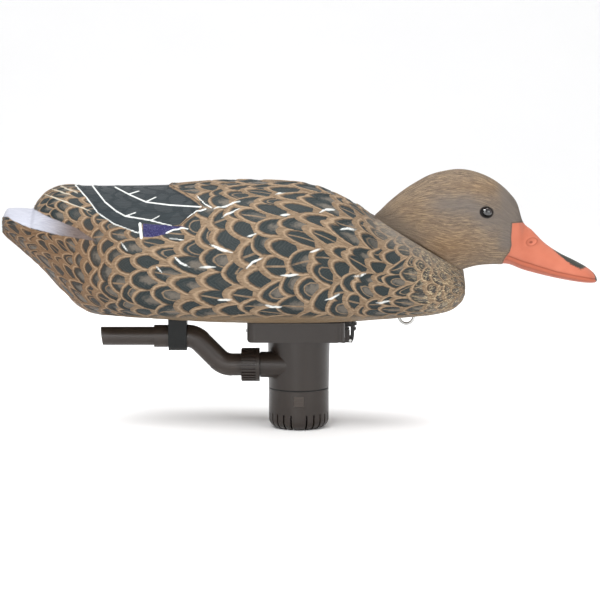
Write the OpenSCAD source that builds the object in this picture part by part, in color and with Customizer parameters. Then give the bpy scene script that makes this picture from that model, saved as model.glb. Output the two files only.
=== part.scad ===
// Swimming hen duck decoy: a hollow moulded duck whose battery pump, hung under the hull,
// sucks water in through a strainer and jets it out of a nozzle under the tail.
// +X points to the bill, +Z up, and the origin lies on the waterline amidships.

/* [Duck] */
// Wall of the hull and head shells
shell_wall = 2.2; // [1.8:0.1:3]
// Height of the seam between hull and back cover, above the waterline
cover_seam_z = 69; // [68:0.5:70]
// Gap left along the cover and neck seams
seam_gap = 0.3; // [0.2:0.1:0.5]
// Radius of the glass eyes
eye_r = 4; // [3:0.5:5]

/* [Battery bay] */
// Battery length
battery_l = 98; // [90:1:100]
// Battery width
battery_w = 68; // [60:1:70]
// Battery height
battery_h = 45; // [40:1:48]
// Travel of the back cover as it lifts off
cover_lift = 120; // [60:10:200]

/* [Pump] */
// Distance of the pump axis ahead of the origin
pump_x = 47.6; // [46:0.2:49]
// Radius of the pump housing where it meets its bracket
pump_top_r = 23.4; // [23:0.1:23.8]
// Radius of the strainer
strainer_r = 22.6; // [22.4:0.1:22.8]
// Number of slot places round the strainer
slot_count = 24; // [20:4:32]
// Width of a strainer slot
slot_w = 1.3; // [1:0.1:1.6]
// Radius of the impeller
impeller_r = 15; // [12:0.5:16]
// Number of impeller vanes
vane_count = 5; // [3:1:7]

/* [Water jet] */
// Outer radius of the S-bend pipe
pipe_r = 8.4; // [8.3:0.1:8.4]
// Outer radius of the nozzle tube
nozzle_r = 6.9; // [6:0.1:6.9]
// Bore radius of the nozzle tube
nozzle_bore_r = 5.4; // [4.5:0.1:5.6]
// Pitch of the union thread
union_pitch = 2; // [1.5:0.5:2]

/* [Hidden] */
$fn = 48;

// ---- Shape of the duck -------------------------------------------------------------------
// One row per station along X: [x, crest z, keel z, half width, z of the widest point,
// roundness above it, roundness below it]. Roundness 2 is an ellipse, more is boxier.
BODY = [
    [-174, 60, 48, 5, 55, 1.7, 1.8],
    [-171, 66, 44.8, 14, 57, 1.6, 1.8],
    [-167, 66.9, 41.5, 20, 57.5, 1.6, 1.8],
    [-158, 66.9, 34, 28, 54.5, 1.6, 1.9],
    [-151, 67, 28.3, 33, 51, 1.7, 2.0],
    [-147, 72.8, 24.6, 36, 49, 1.9, 2.0],
    [-140.5, 79.4, 18.5, 40, 46, 2.0, 2.1],
    [-129, 83.8, 6, 47, 40, 2.1, 2.2],
    [-111, 83.6, -9, 57, 32, 2.1, 2.4],
    [-85, 83.6, -12, 67, 25, 2.1, 2.6],
    [-50, 84.2, -14, 75, 20, 2.1, 2.7],
    [-10, 87, -15.6, 79, 17, 2.1, 2.8],
    [30, 86.8, -16, 79.5, 16, 2.1, 2.8],
    [60, 83, -16, 77, 15, 2.1, 2.8],
    [90, 70, -15.4, 71, 14, 1.9, 2.7],
    [98, 64.7, -15.1, 68.5, 13.2, 1.8, 2.6],
    [105, 61, -14.8, 66, 12.5, 1.7, 2.55],
    [114, 60.5, -14.4, 62.3, 11.5, 1.55, 2.5],
    [130, 61, -13.4, 55, 10, 1.45, 2.4],
    [150, 48, -11.6, 42, 8, 1.5, 2.3],
    [163, 38, -8.5, 28, 6, 1.6, 2.2],
    [170, 27, -3, 13, 5, 1.8, 2.0],
    [172.3, 10, 2, 3, 5, 2.0, 2.0]
];
HEAD = [
    [104, 61, 51, 4, 56, 2, 2],
    [109, 65.5, 46, 12, 56, 2, 2],
    [115, 71.5, 40, 17, 56, 2, 2],
    [124, 79, 34, 22, 56, 2, 2],
    [133, 85, 28, 25, 55, 2, 2],
    [146, 92, 20, 27.5, 53, 2, 2],
    [160, 95.6, 16, 28.5, 51, 2, 2.1],
    [170, 96, 21, 28.5, 50, 2, 2.1],
    [180, 94, 24, 28, 50, 2, 2.1],
    [190, 90, 25, 26, 49, 2, 2.1],
    [198, 85, 25, 23, 47, 2, 2.1],
    [205, 78.5, 24.5, 20, 44, 2, 2.2],
    [211, 70, 22.5, 17.5, 40, 2, 2.2],
    [215, 57.5, 21, 16, 36, 1.9, 2.2],
    [223, 50.5, 18.3, 15, 31, 1.8, 2.2],
    [232, 41.5, 16, 15, 26, 1.8, 2.2],
    [243, 34, 13.6, 15.6, 21.5, 1.9, 2.2],
    [255, 28, 11.6, 17, 18, 2, 2.3],
    [264, 23, 10.6, 15.5, 15.5, 2, 2.3],
    [269.5, 18.5, 10.8, 10, 14, 2, 2.2],
    [272, 14.6, 12.4, 3, 13.5, 2, 2]
];
HULL_STEPS = 46;
HEAD_STEPS = 40;
RING = 32;

// The neck seam is a flat cut that falls towards the breast.
neck_top = [104.5, 60.8];
neck_slope = 31;
neck_deck = 3;

// Decks and wells inside the hull.
ledge_z = 62;
ledge_t = 2.5;
ledge_w = 9;
deck_z = ledge_z + ledge_t;
deck_t = 2.5;
bay_wall = 2;
bay_x0 = -50;
bay_x1 = 60;
bay_half = 38.5;
bay_floor = -6;
well_x0 = -102;
well_half = 25;
well_floor = 25;
deck_x0 = -132;
deck_x1 = 74;
battery_x = 5;
battery_z = bay_floor + bay_wall + 0.5;
// Each magnet spot is [x, y, height of the boss above it].
MAGNET_SPOTS = [[-116, 12, 10], [-116, -12, 10], [66, 10, 8.2], [66, -10, 8.2]];
DECK_SCREWS = [[-72, 40], [-20, 47], [30, 47], [-72, -40], [-20, -47], [30, -47]];
magnet_r = 5;
magnet_t = 2;

// Control case, which stands in the aft well.
case_x0 = -97;
case_x1 = -57;
case_half = 21;
case_z0 = well_floor + bay_wall;
case_h = 16;
case_wall = 1.6;
lid_t = 2.2;
switch_x = -84;
switch_top = case_z0 + case_h + lid_t;
rocker_r = 7;
rocker_pivot_z = switch_top - 1.5;

// Pump bracket under the hull, and its latch.
bracket_x0 = 9;
bracket_x1 = 82;
bracket_half = 28;
bracket_top = -16.4;
bracket_bottom = -31;
bracket_round = 2.5;
bracket_wall = 2.2;
plate_z0 = -18.8;
plate_z1 = -16.1;
PLATE_SCREWS = [[18, 19], [18, -19], [73, 19], [73, -19]];
HOOK_SIDES = [-16, 16];
latch_x = 86.2;
latch_pivot_z = -32;
keeper_z = -21.9;
latch_w = 12;

// Pump heights.
seam_z = -68;
spigot_z = -85.5;
strainer_z = -98.7;
strainer_round = 7;
button_z0 = -80.1;
button_z1 = -72.6;
button_half = 3.8;
can_top = -33.6;
can_bottom = -72;
can_r = 14;
shaft_r = 1.5;
impeller_z = -84;

// Water line from the pump to the nozzle.
jet_y = -11.5;
port_z = -49.6;
jet_z = -28;
nut_x0 = 4.5;
nut_x1 = 18.3;
nut_r = 12.6;
bend_r = 14;
lower_corner_x = -8.6;
upper_corner_x = lower_corner_x - (jet_z - port_z);
flange_x1 = 9.2;
pipe_end_x = -60.6;
nozzle_tip_x = -100.5;
nozzle_in_x = -45;
strap_x = -42.9;
strap_w = 13.6;
strap_t = 2.3;
strap_top = -14.4;
eye_x = 128.6;
eye_z = -14.8;
eye_bend_r = 5.4;
eye_wire_r = 1.1;

// ---- Curves and skins --------------------------------------------------------------------
function span(table, x, i = 0) = i >= len(table) - 2 || x < table[i + 1][0] ? i : span(table, x, i + 1);
function rise(table, c, i) =
    let (a = max(i - 1, 0), b = min(i + 1, len(table) - 1))
    (table[b][c] - table[a][c]) / (table[b][0] - table[a][0]);
// Smooth value of column c at x, by cubic Hermite between the stations.
function curve(table, c, x) =
    let (
        i = span(table, x),
        h = table[i + 1][0] - table[i][0],
        t = (x - table[i][0]) / h,
        p = table[i][c],
        q = table[i + 1][c],
        m = rise(table, c, i) * h,
        n = rise(table, c, i + 1) * h
    )
    (2 * t * t * t - 3 * t * t + 1) * p + (t * t * t - 2 * t * t + t) * m
    + (3 * t * t - 2 * t * t * t) * q + (t * t * t - t * t) * n;
function signed_power(v, e) = sign(v) * pow(abs(v), e);
// One cross-section at x, shrunk by inset all round.
function section(table, x, inset) =
    let (
        zw = curve(table, 4, x),
        up = max(curve(table, 1, x) - zw - inset, 0.5),
        down = max(zw - curve(table, 2, x) - inset, 0.5),
        half = max(curve(table, 3, x) - inset, 0.5),
        ea = 2 / curve(table, 5, x),
        eb = 2 / curve(table, 6, x)
    )
    [for (k = [0:RING - 1])
        let (a = 360 * k / RING, e = sin(a) >= 0 ? ea : eb)
        [x, half * signed_power(cos(a), e), zw + (sin(a) >= 0 ? up : down) * signed_power(sin(a), e)]];
// Half width of the body at x and height z, shrunk by inset.
function half_width(x, z, inset) =
    let (
        zw = curve(BODY, 4, x),
        up = curve(BODY, 1, x) - zw - inset,
        n = curve(BODY, 5, x),
        r = min(max((z - zw) / up, 0), 1)
    )
    (curve(BODY, 3, x) - inset) * pow(1 - pow(r, n), 1 / n);

// Closed skin over rings of equal length.
module skin(rings) {
    n = len(rings[0]);
    last = len(rings) - 1;
    points = [for (r = rings) for (p = r) p];
    sides = [for (i = [0:last - 1]) for (j = [0:n - 1])
        let (a = i * n + j, b = i * n + (j + 1) % n) each [[a, b + n, b], [a, a + n, b + n]]];
    caps = [[for (j = [0:n - 1]) j], [for (j = [n - 1:-1:0]) last * n + j]];
    polyhedron(points, concat(sides, caps));
}
module loft(table, steps, inset) {
    x0 = table[0][0] + inset;
    x1 = table[len(table) - 1][0] - inset;
    // Stations crowd towards both ends, where the shape turns fastest.
    skin([for (i = [0:steps]) section(table, x0 + (x1 - x0) * (1 - cos(180 * i / steps)) / 2, inset)]);
}
// Everything above the neck seam, raised by lift.
module above_neck(lift) {
    translate([neck_top[0], 0, neck_top[1]])
        rotate([0, neck_slope, 0])
            translate([-40, -100, lift])
                cube([300, 200, 200]);
}
module below_neck(lift) {
    translate([neck_top[0], 0, neck_top[1]])
        rotate([0, neck_slope, 0])
            translate([-400, -100, lift - 200])
                cube([600, 200, 200]);
}
module slab(z0, z1) {
    translate([-200, -100, z0]) cube([480, 200, z1 - z0]);
}
// Outline of the body at height z between two stations, shrunk by inset.
module plan(x0, x1, z, inset) {
    count = 22;
    xs = [for (i = [0:count]) x0 + (x1 - x0) * i / count];
    polygon(concat([for (x = xs) [x, half_width(x, z, inset)]],
        [for (i = [count:-1:0]) [xs[i], -half_width(xs[i], z, inset)]]));
}
// Tube swept along points that lie in one plane or not, with flat ends.
module sweep(path, r, sides = 8) {
    last = len(path) - 1;
    function direction(i) = path[min(i + 1, last)] - path[max(i - 1, 0)];
    function unit(v) = v / norm(v);
    skin([for (i = [0:last])
        let (
            t = unit(direction(i)),
            guide = abs(t[1]) > 0.9 ? [1, 0, 0] : [0, 1, 0],
            u = unit(cross(guide, t)),
            v = cross(t, u)
        )
        [for (k = [0:sides - 1]) path[i] + r * (u * cos(360 * k / sides) + v * sin(360 * k / sides))]]);
}
// Smooth path through hand-placed points.
function smooth_path(points, per) =
    concat([for (i = [0:len(points) - 2]) for (k = [0:per - 1])
        let (
            t = k / per,
            a = points[max(i - 1, 0)],
            b = points[i],
            c = points[i + 1],
            d = points[min(i + 2, len(points) - 1)]
        )
        0.5 * (2 * b + (c - a) * t + (2 * a - 5 * b + 4 * c - d) * t * t
            + (3 * b - a - 3 * c + d) * t * t * t)], [points[len(points) - 1]]);

// ---- Small repeated shapes ---------------------------------------------------------------
module tube(r, bore, h) {
    difference() {
        cylinder(r = r, h = h);
        translate([0, 0, -1]) cylinder(r = bore, h = h + 2);
    }
}
module along_x(x, y, z) {
    translate([x, y, z]) rotate([0, 90, 0]) children();
}
module rounded_rect(l, w, r) {
    square([l - 2 * r, w], center = true);
    square([l, w - 2 * r], center = true);
    for (x = [-1, 1], y = [-1, 1])
        translate([x * (l / 2 - r), y * (w / 2 - r)]) circle(r = r);
}
module box(x0, x1, half, z0, z1, r) {
    translate([(x0 + x1) / 2, 0, z0])
        linear_extrude(z1 - z0) rounded_rect(x1 - x0, 2 * half, r);
}
// Pan-head screw, head down at the origin, shank up.
module screw(head_r, head_h, shank_r, length) {
    difference() {
        union() {
            cylinder(r = head_r, h = head_h);
            cylinder(r = shank_r, h = length);
        }
        for (a = [0, 90]) rotate(a) translate([-head_r * 0.6, -0.3, -1]) cube([head_r * 1.2, 0.6, 1.6]);
    }
}
module nut(r, bore, h) {
    difference() {
        cylinder(r = r, h = h, $fn = 6);
        translate([0, 0, -1]) cylinder(r = bore, h = h + 2);
    }
}
module at_each(spots, z) {
    for (s = spots) translate([s[0], s[1], z]) children();
}

// ---- Duck shells -------------------------------------------------------------------------
module hull_shell() color("peru") {
    difference() {
        loft(BODY, HULL_STEPS, 0);
        // Hollow below the ledge, stopping short of the neck deck.
        intersection() {
            loft(BODY, HULL_STEPS, shell_wall);
            slab(-100, ledge_z);
            below_neck(-neck_deck);
        }
        // Opening inside the ledge, then the room above it.
        translate([0, 0, ledge_z - 1])
            linear_extrude(ledge_t + 2)
                plan(deck_x0 + ledge_w, deck_x1 - ledge_w, ledge_z, shell_wall + ledge_w);
        intersection() {
            loft(BODY, HULL_STEPS, shell_wall);
            translate([deck_x0 - 5, -100, deck_z]) cube([deck_x1 - deck_x0 + 15, 200, 40]);
        }
        slab(cover_seam_z, 200);
        above_neck(0);
        at_each(PLATE_SCREWS, -20) cylinder(r = 1.8, h = 12);
        translate([pump_x, 0, -20]) cylinder(r = 4, h = 12);
        at_each(STRAP_SCREWS, -20) cylinder(r = 1.6, h = 12);
        at_each(DECK_SCREWS, ledge_z - 1) cylinder(r = 1.45, h = ledge_t + 2);
        for (s = [-1, 1])
            translate([eye_x + s * eye_bend_r, 0, -20]) cylinder(r = eye_wire_r + 0.2, h = 12);
        neck_screw_places(-neck_deck - 3) cylinder(r = 1.6, h = 8);
    }
}
module back_cover() color("darkslategray") {
    difference() {
        union() {
            difference() {
                intersection() {
                    loft(BODY, HULL_STEPS, 0);
                    translate([-160, -100, cover_seam_z + seam_gap]) cube([262, 200, 60]);
                }
                loft(BODY, HULL_STEPS, shell_wall);
            }
            for (m = MAGNET_SPOTS) translate([m[0], m[1], cover_seam_z + 1.2])
                cylinder(r = magnet_r + 1.6, h = m[2]);
        }
        at_each(MAGNET_SPOTS, cover_seam_z) cylinder(r = magnet_r + 0.05, h = 1.2 + magnet_t);
    }
}
module cover_seal() color("dimgray") {
    translate([0, 0, deck_z + deck_t])
        linear_extrude(2) difference() {
            plan(deck_x0 + 2, deck_x1 - 2, deck_z + deck_t + 2, shell_wall + 0.9);
            plan(deck_x0 + 5, deck_x1 - 5, deck_z + deck_t + 2, shell_wall + 3.6);
        }
}
module cover_magnets() color("silver") {
    at_each(MAGNET_SPOTS, cover_seam_z + 1.2) cylinder(r = magnet_r, h = magnet_t);
}

// ---- Battery bay -------------------------------------------------------------------------
module battery_bay() color("dimgray") {
    difference() {
        union() {
            translate([0, 0, deck_z])
                linear_extrude(deck_t) plan(deck_x0, deck_x1, deck_z + deck_t, shell_wall + 0.7);
            box(bay_x0, bay_x1, bay_half, bay_floor, deck_z + 1, 5);
            box(well_x0, bay_x0 + 8, well_half, well_floor, deck_z + 1, 4);
        }
        box(bay_x0 + bay_wall, bay_x1 - bay_wall, bay_half - bay_wall, bay_floor + bay_wall, 90, 3);
        box(well_x0 + bay_wall, bay_x0 + 6, well_half - bay_wall, well_floor + bay_wall, 90, 2);
        at_each(MAGNET_SPOTS, deck_z + deck_t - 1.8) cylinder(r = magnet_r + 0.05, h = 3);
        at_each(DECK_SCREWS, deck_z - 1) cylinder(r = 1.6, h = 6);
        at_each(DECK_SCREWS, deck_z + deck_t - 1.5) cylinder(r = 3, h = 3);
        translate([-79, -16, well_floor - 1]) cylinder(r = 3.2, h = 6);
    }
}
module deck_magnets() color("silver") {
    at_each(MAGNET_SPOTS, deck_z + deck_t - 1.8) cylinder(r = magnet_r, h = 1.7);
}
module deck_screws() color("silver") {
    // Sunk into the deck, under the seal.
    at_each(DECK_SCREWS, deck_z + deck_t - 0.05) mirror([0, 0, 1]) screw(2.8, 1.4, 1.4, 4.6);
}
module battery() color("darkslategray") {
    x0 = battery_x - battery_l / 2;
    difference() {
        box(x0, x0 + battery_l, battery_w / 2, battery_z, battery_z + battery_h, 2);
        // Groove of the case lid, at the terminal end.
        translate([x0 + 7, -50, battery_z - 1]) difference() {
            cube([0.8, 100, battery_h + 2]);
            translate([-1, 50 - battery_w / 2 + 0.5, 1.5]) cube([3, battery_w - 1, battery_h - 1]);
        }
    }
}
module battery_terminals() color("gold") {
    x0 = battery_x - battery_l / 2;
    for (s = [-1, 1]) translate([x0 - 6.4, s * 16 - 2.4, battery_z + battery_h - 8]) cube([6.4, 4.8, 0.8]);
}
module terminal_boots() {
    x0 = battery_x - battery_l / 2;
    for (s = [-1, 1]) color(s > 0 ? "firebrick" : "black") difference() {
        translate([x0 - 9.5, s * 16 - 3.5, battery_z + battery_h - 9.6]) cube([8.5, 7, 4]);
        translate([x0 - 7, s * 16 - 2.5, battery_z + battery_h - 8.1]) cube([8, 5, 1]);
    }
}
WIRE_POINTS = [[-51.5, 16, 35.97], [-51.5, 16, 38], [-51.5, 15.8, 42], [-53.3, 14.8, 47],
    [-58, 12.2, 50], [-64, 9, 50.6], [-68.8, 6.2, 50], [-70.5, 5, 47.4], [-70.5, 5, 44.2]];
module battery_wires() {
    for (s = [-1, 1]) color(s > 0 ? "firebrick" : "black")
        sweep(smooth_path([for (p = WIRE_POINTS) [p[0], s * p[1], p[2]]], 4), 1.2);
}
module battery_strap() color("black") {
    top = battery_z + battery_h;
    translate([battery_x - 12.5, 0, 0]) rotate([90, 0, 90]) linear_extrude(25) difference() {
        translate([-battery_w / 2 - 1.9, battery_z + 1])
            square([battery_w + 3.8, battery_h + 0.9]);
        translate([-battery_w / 2 - 0.1, battery_z]) square([battery_w + 0.2, battery_h + 0.1]);
    }
    translate([battery_x - 12.5, -14, top + 1.9]) cube([25, 34, 1.4]);
}

// ---- Control case and switch -------------------------------------------------------------
module control_case() color("gray") {
    difference() {
        box(case_x0, case_x1, case_half, case_z0, case_z0 + case_h, 3);
        box(case_x0 + case_wall, case_x1 - case_wall, case_half - case_wall, case_z0 + case_wall, 90, 1.5);
        translate([-79, -16, case_z0 - 1]) cylinder(r = 2.6, h = 5);
    }
}
module control_lid() color("gray") {
    difference() {
        box(case_x0, case_x1, case_half, case_z0 + case_h, case_z0 + case_h + lid_t, 3);
        translate([switch_x - 6.6, -10, 0]) cube([13.2, 20, 90]);
        at_each(CASE_SCREWS, 0) cylinder(r = 1.3, h = 90);
        for (s = [-1, 1]) translate([-70.5, s * 5, 0]) cylinder(r = 1.6, h = 90);
    }
}
CASE_SCREWS = [[case_x0 + 5, 17], [case_x0 + 5, -17], [case_x1 - 5, 17], [case_x1 - 5, -17]];
module case_screws() color("silver") {
    at_each(CASE_SCREWS, switch_top + 1.2) mirror([0, 0, 1]) screw(2.2, 1.2, 1.1, 6);
}
module control_board() color("darkgreen") {
    z = case_z0 + case_wall + 1.5;
    translate([case_x0 + 2.6, -18, z]) cube([34.6, 36, 1.6]);
    translate([-66, 6, z + 1.6]) cube([5, 9, 4]);
    translate([-66, -12, z + 1.6]) cylinder(r = 2.6, h = 8);
    translate([-72, 8, z + 1.6]) cylinder(r = 2, h = 6);
}
module switch_body() color("black") {
    difference() {
        union() {
            translate([switch_x - 6.5, -9.9, switch_top - 8.6]) cube([13, 19.8, 8.6]);
            translate([switch_x - 8, -11.5, switch_top]) cube([16, 23, 1.4]);
        }
        translate([switch_x - 5.3, -8.5, switch_top - 6.6]) cube([10.6, 17, 20]);
        along_x(switch_x - 6, 0, rocker_pivot_z) cylinder(r = 1.05, h = 12);
    }
}
module switch_rocker() color("firebrick") {
    // Resting in the off position, the aft paw is down; it rolls about its trunnions.
    translate([switch_x, 0, rocker_pivot_z]) rotate([-10, 0, 0]) {
        translate([-5, 0, 0]) rotate([90, 0, 90]) linear_extrude(10) difference() {
            circle(r = rocker_r);
            translate([0, 14.4]) circle(r = 12);
            translate([-20, -24]) square([40, 22]);
        }
        along_x(-6, 0, 0) cylinder(r = 1, h = 12);
    }
}

// ---- Pump lead ---------------------------------------------------------------------------
LEAD_POINTS = [[-79, -16, 22], [-79, -16, 14], [-78, -15, 5], [-72, -13, -3], [-62, -9, -7.6],
    [-48, -4, -9.2], [-25, 0, -9.8], [0, 0, -9.8], [25, 0, -9.6], [38, 0, -8.6], [44.5, 0, -8.2],
    [47.2, 0, -10], [47.6, 0, -12.8], [47.6, 0, -16.5], [47.6, 0, -20.5], [47.6, 0, -24.4]];
module pump_lead() color("black") {
    sweep(smooth_path(LEAD_POINTS, 3), 1.8);
}
module lead_gland() color("black") {
    translate([-79, -16, 22]) {
        difference() {
            union() {
                cylinder(r = 2.5, h = 8);
                cylinder(r = 5, h = 2.9, $fn = 6);
                translate([0, 0, 5.2]) cylinder(r = 2.5, h = 1);
            }
            translate([0, 0, 3]) cylinder(r = 1.8, h = 8);
        }
    }
}
module hull_grommet() color("black") {
    translate([pump_x, 0, plate_z0]) {
        tube(3.95, 1.95, 5.2);
        translate([0, 0, -1]) tube(5.4, 1.95, 1);
    }
}
module pump_gland() color("black") {
    translate([pump_x, 0, -28]) difference() {
        union() {
            cylinder(r = 4.2, h = 2.4, $fn = 6);
            cylinder(r = 3, h = 5);
        }
        translate([0, 0, 3.6]) cylinder(r = 1.85, h = 3);
    }
}

// ---- Pump bracket: a plate screwed to the hull, and a box that hooks on and latches -------
module base_plate() color("saddlebrown") {
    difference() {
        union() {
            box(bracket_x0 + bracket_wall + 0.3, bracket_x1 - bracket_wall - 0.3,
                bracket_half - bracket_wall - 0.3, plate_z0, plate_z1, 4);
            // Hooks at the back, whose toes pass through the box wall.
            for (y = HOOK_SIDES) {
                translate([bracket_x0 + 2.8, y - 4, -24]) cube([1.8, 8, plate_z0 + 25]);
                translate([bracket_x0 - 0.6, y - 4, -24]) cube([4, 8, 1.5]);
            }
            // Keeper for the latch, at the front.
            translate([77, -6, keeper_z - 1.9]) cube([1.6, 12, plate_z0 + 1 - keeper_z + 1.9]);
            translate([77, -6, keeper_z - 1.9]) cube([7.4, 12, 1.9]);
        }
        at_each(PLATE_SCREWS, -40) cylinder(r = 1.8, h = 40);
        translate([pump_x, 0, -40]) cylinder(r = 4, h = 40);
    }
}
module plate_screws() color("silver") {
    at_each(PLATE_SCREWS, plate_z0 - 1.4) screw(3, 1.4, 1.5, 11.5);
}
module plate_nuts() color("silver") {
    at_each(PLATE_SCREWS, -13) nut(3.6, 1.55, 2.4);
}
module pump_bracket() color("saddlebrown") {
    difference() {
        union() {
            // Box with rounded lower ends.
            intersection() {
                box(bracket_x0, bracket_x1, bracket_half, bracket_bottom, bracket_top, 6);
                translate([(bracket_x0 + bracket_x1) / 2, 40, bracket_bottom]) rotate([90, 0, 0])
                    linear_extrude(80) translate([0, 20])
                        rounded_rect(bracket_x1 - bracket_x0, 40, bracket_round);
            }
            // Feet of the end stiffeners.
            for (x = [70, 79.4]) translate([x, -bracket_half + 4, bracket_bottom - 0.7])
                cube([x < 75 ? 6.4 : 2.6, 2 * bracket_half - 8, 4]);
            // Cheeks and stop of the latch.
            for (s = [-1, 1]) translate([bracket_x1 - 1, s * (latch_w / 2 + 1.5) - 1.2, latch_pivot_z - 1.5]) {
                cube([latch_x - bracket_x1 + 2.6, 2.4, 3]);
                cube([4.8, 2.4, 9.5]);
            }
            translate([bracket_x1 - 1, -4.5, -29.3]) cube([4.4, 9, 4.5]);
        }
        box(bracket_x0 + bracket_wall, bracket_x1 - bracket_wall, bracket_half - bracket_wall,
            bracket_bottom + bracket_wall, 0, 4);
        // Slots for the hooks, notch for the keeper, and a groove down each side wall.
        for (y = HOOK_SIDES) translate([bracket_x0 - 1, y - 4.3, -24.3]) cube([4, 8.6, 2.1]);
        translate([bracket_x1 - 4, -6.3, keeper_z - 2.2]) cube([5, 12.6, 20]);
        for (s = [-1, 1]) translate([77, s * bracket_half - 0.8, -40]) cube([2.4, 1.6, 30]);
        translate([pump_x, 0, -40]) cylinder(r = 11, h = 14);
        at_each(pump_screw_spots(), -40) cylinder(r = 1.5, h = 14);
        translate([latch_x, latch_w / 2 + 6, latch_pivot_z]) rotate([90, 0, 0])
            cylinder(r = 1.02, h = latch_w + 12);
    }
}
// Side outline of the latch lever: plate, two pointed finger fins and the hook.
LATCH_OUTLINE = [[-1.7, -1.6], [1.2, -2], [2.6, 0.6], [3, 3.6], [3.1, 7], [4.6, 8.3], [3.2, 9.3],
    [2.6, 10.3], [5.2, 11.9], [4, 13], [2.6, 14.4], [1, 12.5], [-4.8, 12.5], [-4.8, 10.2],
    [0.5, 10.2], [0.5, 2.2], [-1.7, 1.6]];
module latch_lever() color("black") {
    translate([latch_x, 0, latch_pivot_z]) difference() {
        translate([0, latch_w / 2, 0]) rotate([90, 0, 0]) linear_extrude(latch_w) polygon(LATCH_OUTLINE);
        translate([0, latch_w / 2 + 1, 0]) rotate([90, 0, 0]) cylinder(r = 1.06, h = latch_w + 2);
    }
}
module latch_pin() color("silver") {
    translate([latch_x, latch_w / 2 + 3, latch_pivot_z]) rotate([90, 0, 0])
        cylinder(r = 1, h = latch_w + 6);
}

// ---- Pump --------------------------------------------------------------------------------
function pump_screw_spots() = [for (a = [60, 180, 300]) [pump_x + 15.5 * cos(a), 15.5 * sin(a)]];
module pump_housing() color("saddlebrown") {
    difference() {
        union() {
            translate([pump_x, 0, seam_z]) {
                cylinder(r1 = strainer_r + 0.1, r2 = pump_top_r, h = bracket_bottom - seam_z);
                cylinder(r = 10.6, h = -26 - seam_z);
                translate([0, 0, spigot_z - seam_z]) cylinder(r = 20.4, h = seam_z - spigot_z + 1);
            }
            along_x(11, jet_y, port_z) cylinder(r = 8.9, h = 10);
            along_x(18.8, jet_y, port_z) cylinder(r = 9.7, h = 26);
        }
        translate([pump_x, 0, -100]) cylinder(r = 18.8, h = 100 + can_top);
        along_x(0, jet_y, port_z) cylinder(r = 6.5, h = pump_x - 4);
        for (s = [-1, 1]) translate([pump_x - button_half - 0.6, s > 0 ? 10 : -21, button_z0 - 0.8])
            cube([2 * button_half + 1.2, 11, button_z1 - button_z0 + 1.6]);
        translate([pump_x, 0, -34]) cylinder(r = 2, h = 10);
        at_each(pump_screw_spots(), -33) cylinder(r = 1.3, h = 10);
        translate([pump_x, 0, -28]) cylinder(r = 5, h = 10, $fn = 48);
    }
}
module pump_screws() color("silver") {
    at_each(pump_screw_spots(), bracket_bottom + bracket_wall + 1.3) mirror([0, 0, 1])
        screw(2.4, 1.3, 1.2, 5.2);
}
module motor_can() color("silver") {
    translate([pump_x, 0, can_bottom]) difference() {
        union() {
            cylinder(r = can_r, h = can_top - can_bottom);
            cylinder(r = 6, h = 1);
        }
        translate([0, 0, 1.5]) cylinder(r = can_r - 1, h = 100);
        translate([0, 0, -1]) cylinder(r = 4, h = 5);
    }
}
module motor_cap() color("black") {
    translate([pump_x, 0, can_top - 4]) difference() {
        cylinder(r = can_r - 1.05, h = 4);
        translate([0, 0, -1]) cylinder(r = 4, h = 4);
        translate([0, 0, 2]) cylinder(r = 2, h = 3);
    }
}
module motor_magnets() color("gray") {
    for (a = [25, 205]) translate([pump_x, 0, -66]) rotate(a)
        rotate_extrude(angle = 130) translate([10.3, 0]) square([2.6, 24]);
}
module motor_bearings() color("goldenrod") {
    translate([pump_x, 0, can_bottom]) tube(3.95, shaft_r + 0.05, 3.2);
    translate([pump_x, 0, can_top - 4]) tube(3.95, shaft_r + 0.05, 2.9);
}
module motor_shaft() color("silver") {
    translate([pump_x, 0, impeller_z + 0.6]) cylinder(r = shaft_r, h = can_top - 1.6 - impeller_z - 0.6);
}
module armature() color("brown") {
    translate([pump_x, 0, -64]) difference() {
        union() {
            cylinder(r = 9.6, h = 18);
            translate([0, 0, -2]) cylinder(r = 7.4, h = 22);
            translate([0, 0, 18]) cylinder(r = 3.4, h = 6);
        }
        translate([0, 0, -5]) cylinder(r = shaft_r, h = 40);
        for (a = [0, 120, 240]) rotate(a) translate([7.6, -0.8, -3]) cube([4, 1.6, 24]);
    }
}
module shaft_seal() color("black") {
    translate([pump_x, 0, can_bottom - 2.6]) tube(5.2, shaft_r + 0.06, 2.6);
}
module impeller() color("dimgray") {
    translate([pump_x, 0, impeller_z]) difference() {
        union() {
            translate([0, 0, 5]) cylinder(r = impeller_r, h = 1.6);
            cylinder(r = 3.6, h = 8);
            for (k = [0:vane_count - 1]) rotate(360 * k / vane_count)
                translate([2.4, -0.7, 0.8]) cube([impeller_r - 3, 1.4, 5]);
        }
        translate([0, 0, 0.6]) cylinder(r = shaft_r, h = 20);
    }
}
module intake_plate() color("dimgray") {
    translate([pump_x, 0, spigot_z - 1.5]) tube(20.2, 7, 1.5);
}
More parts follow.
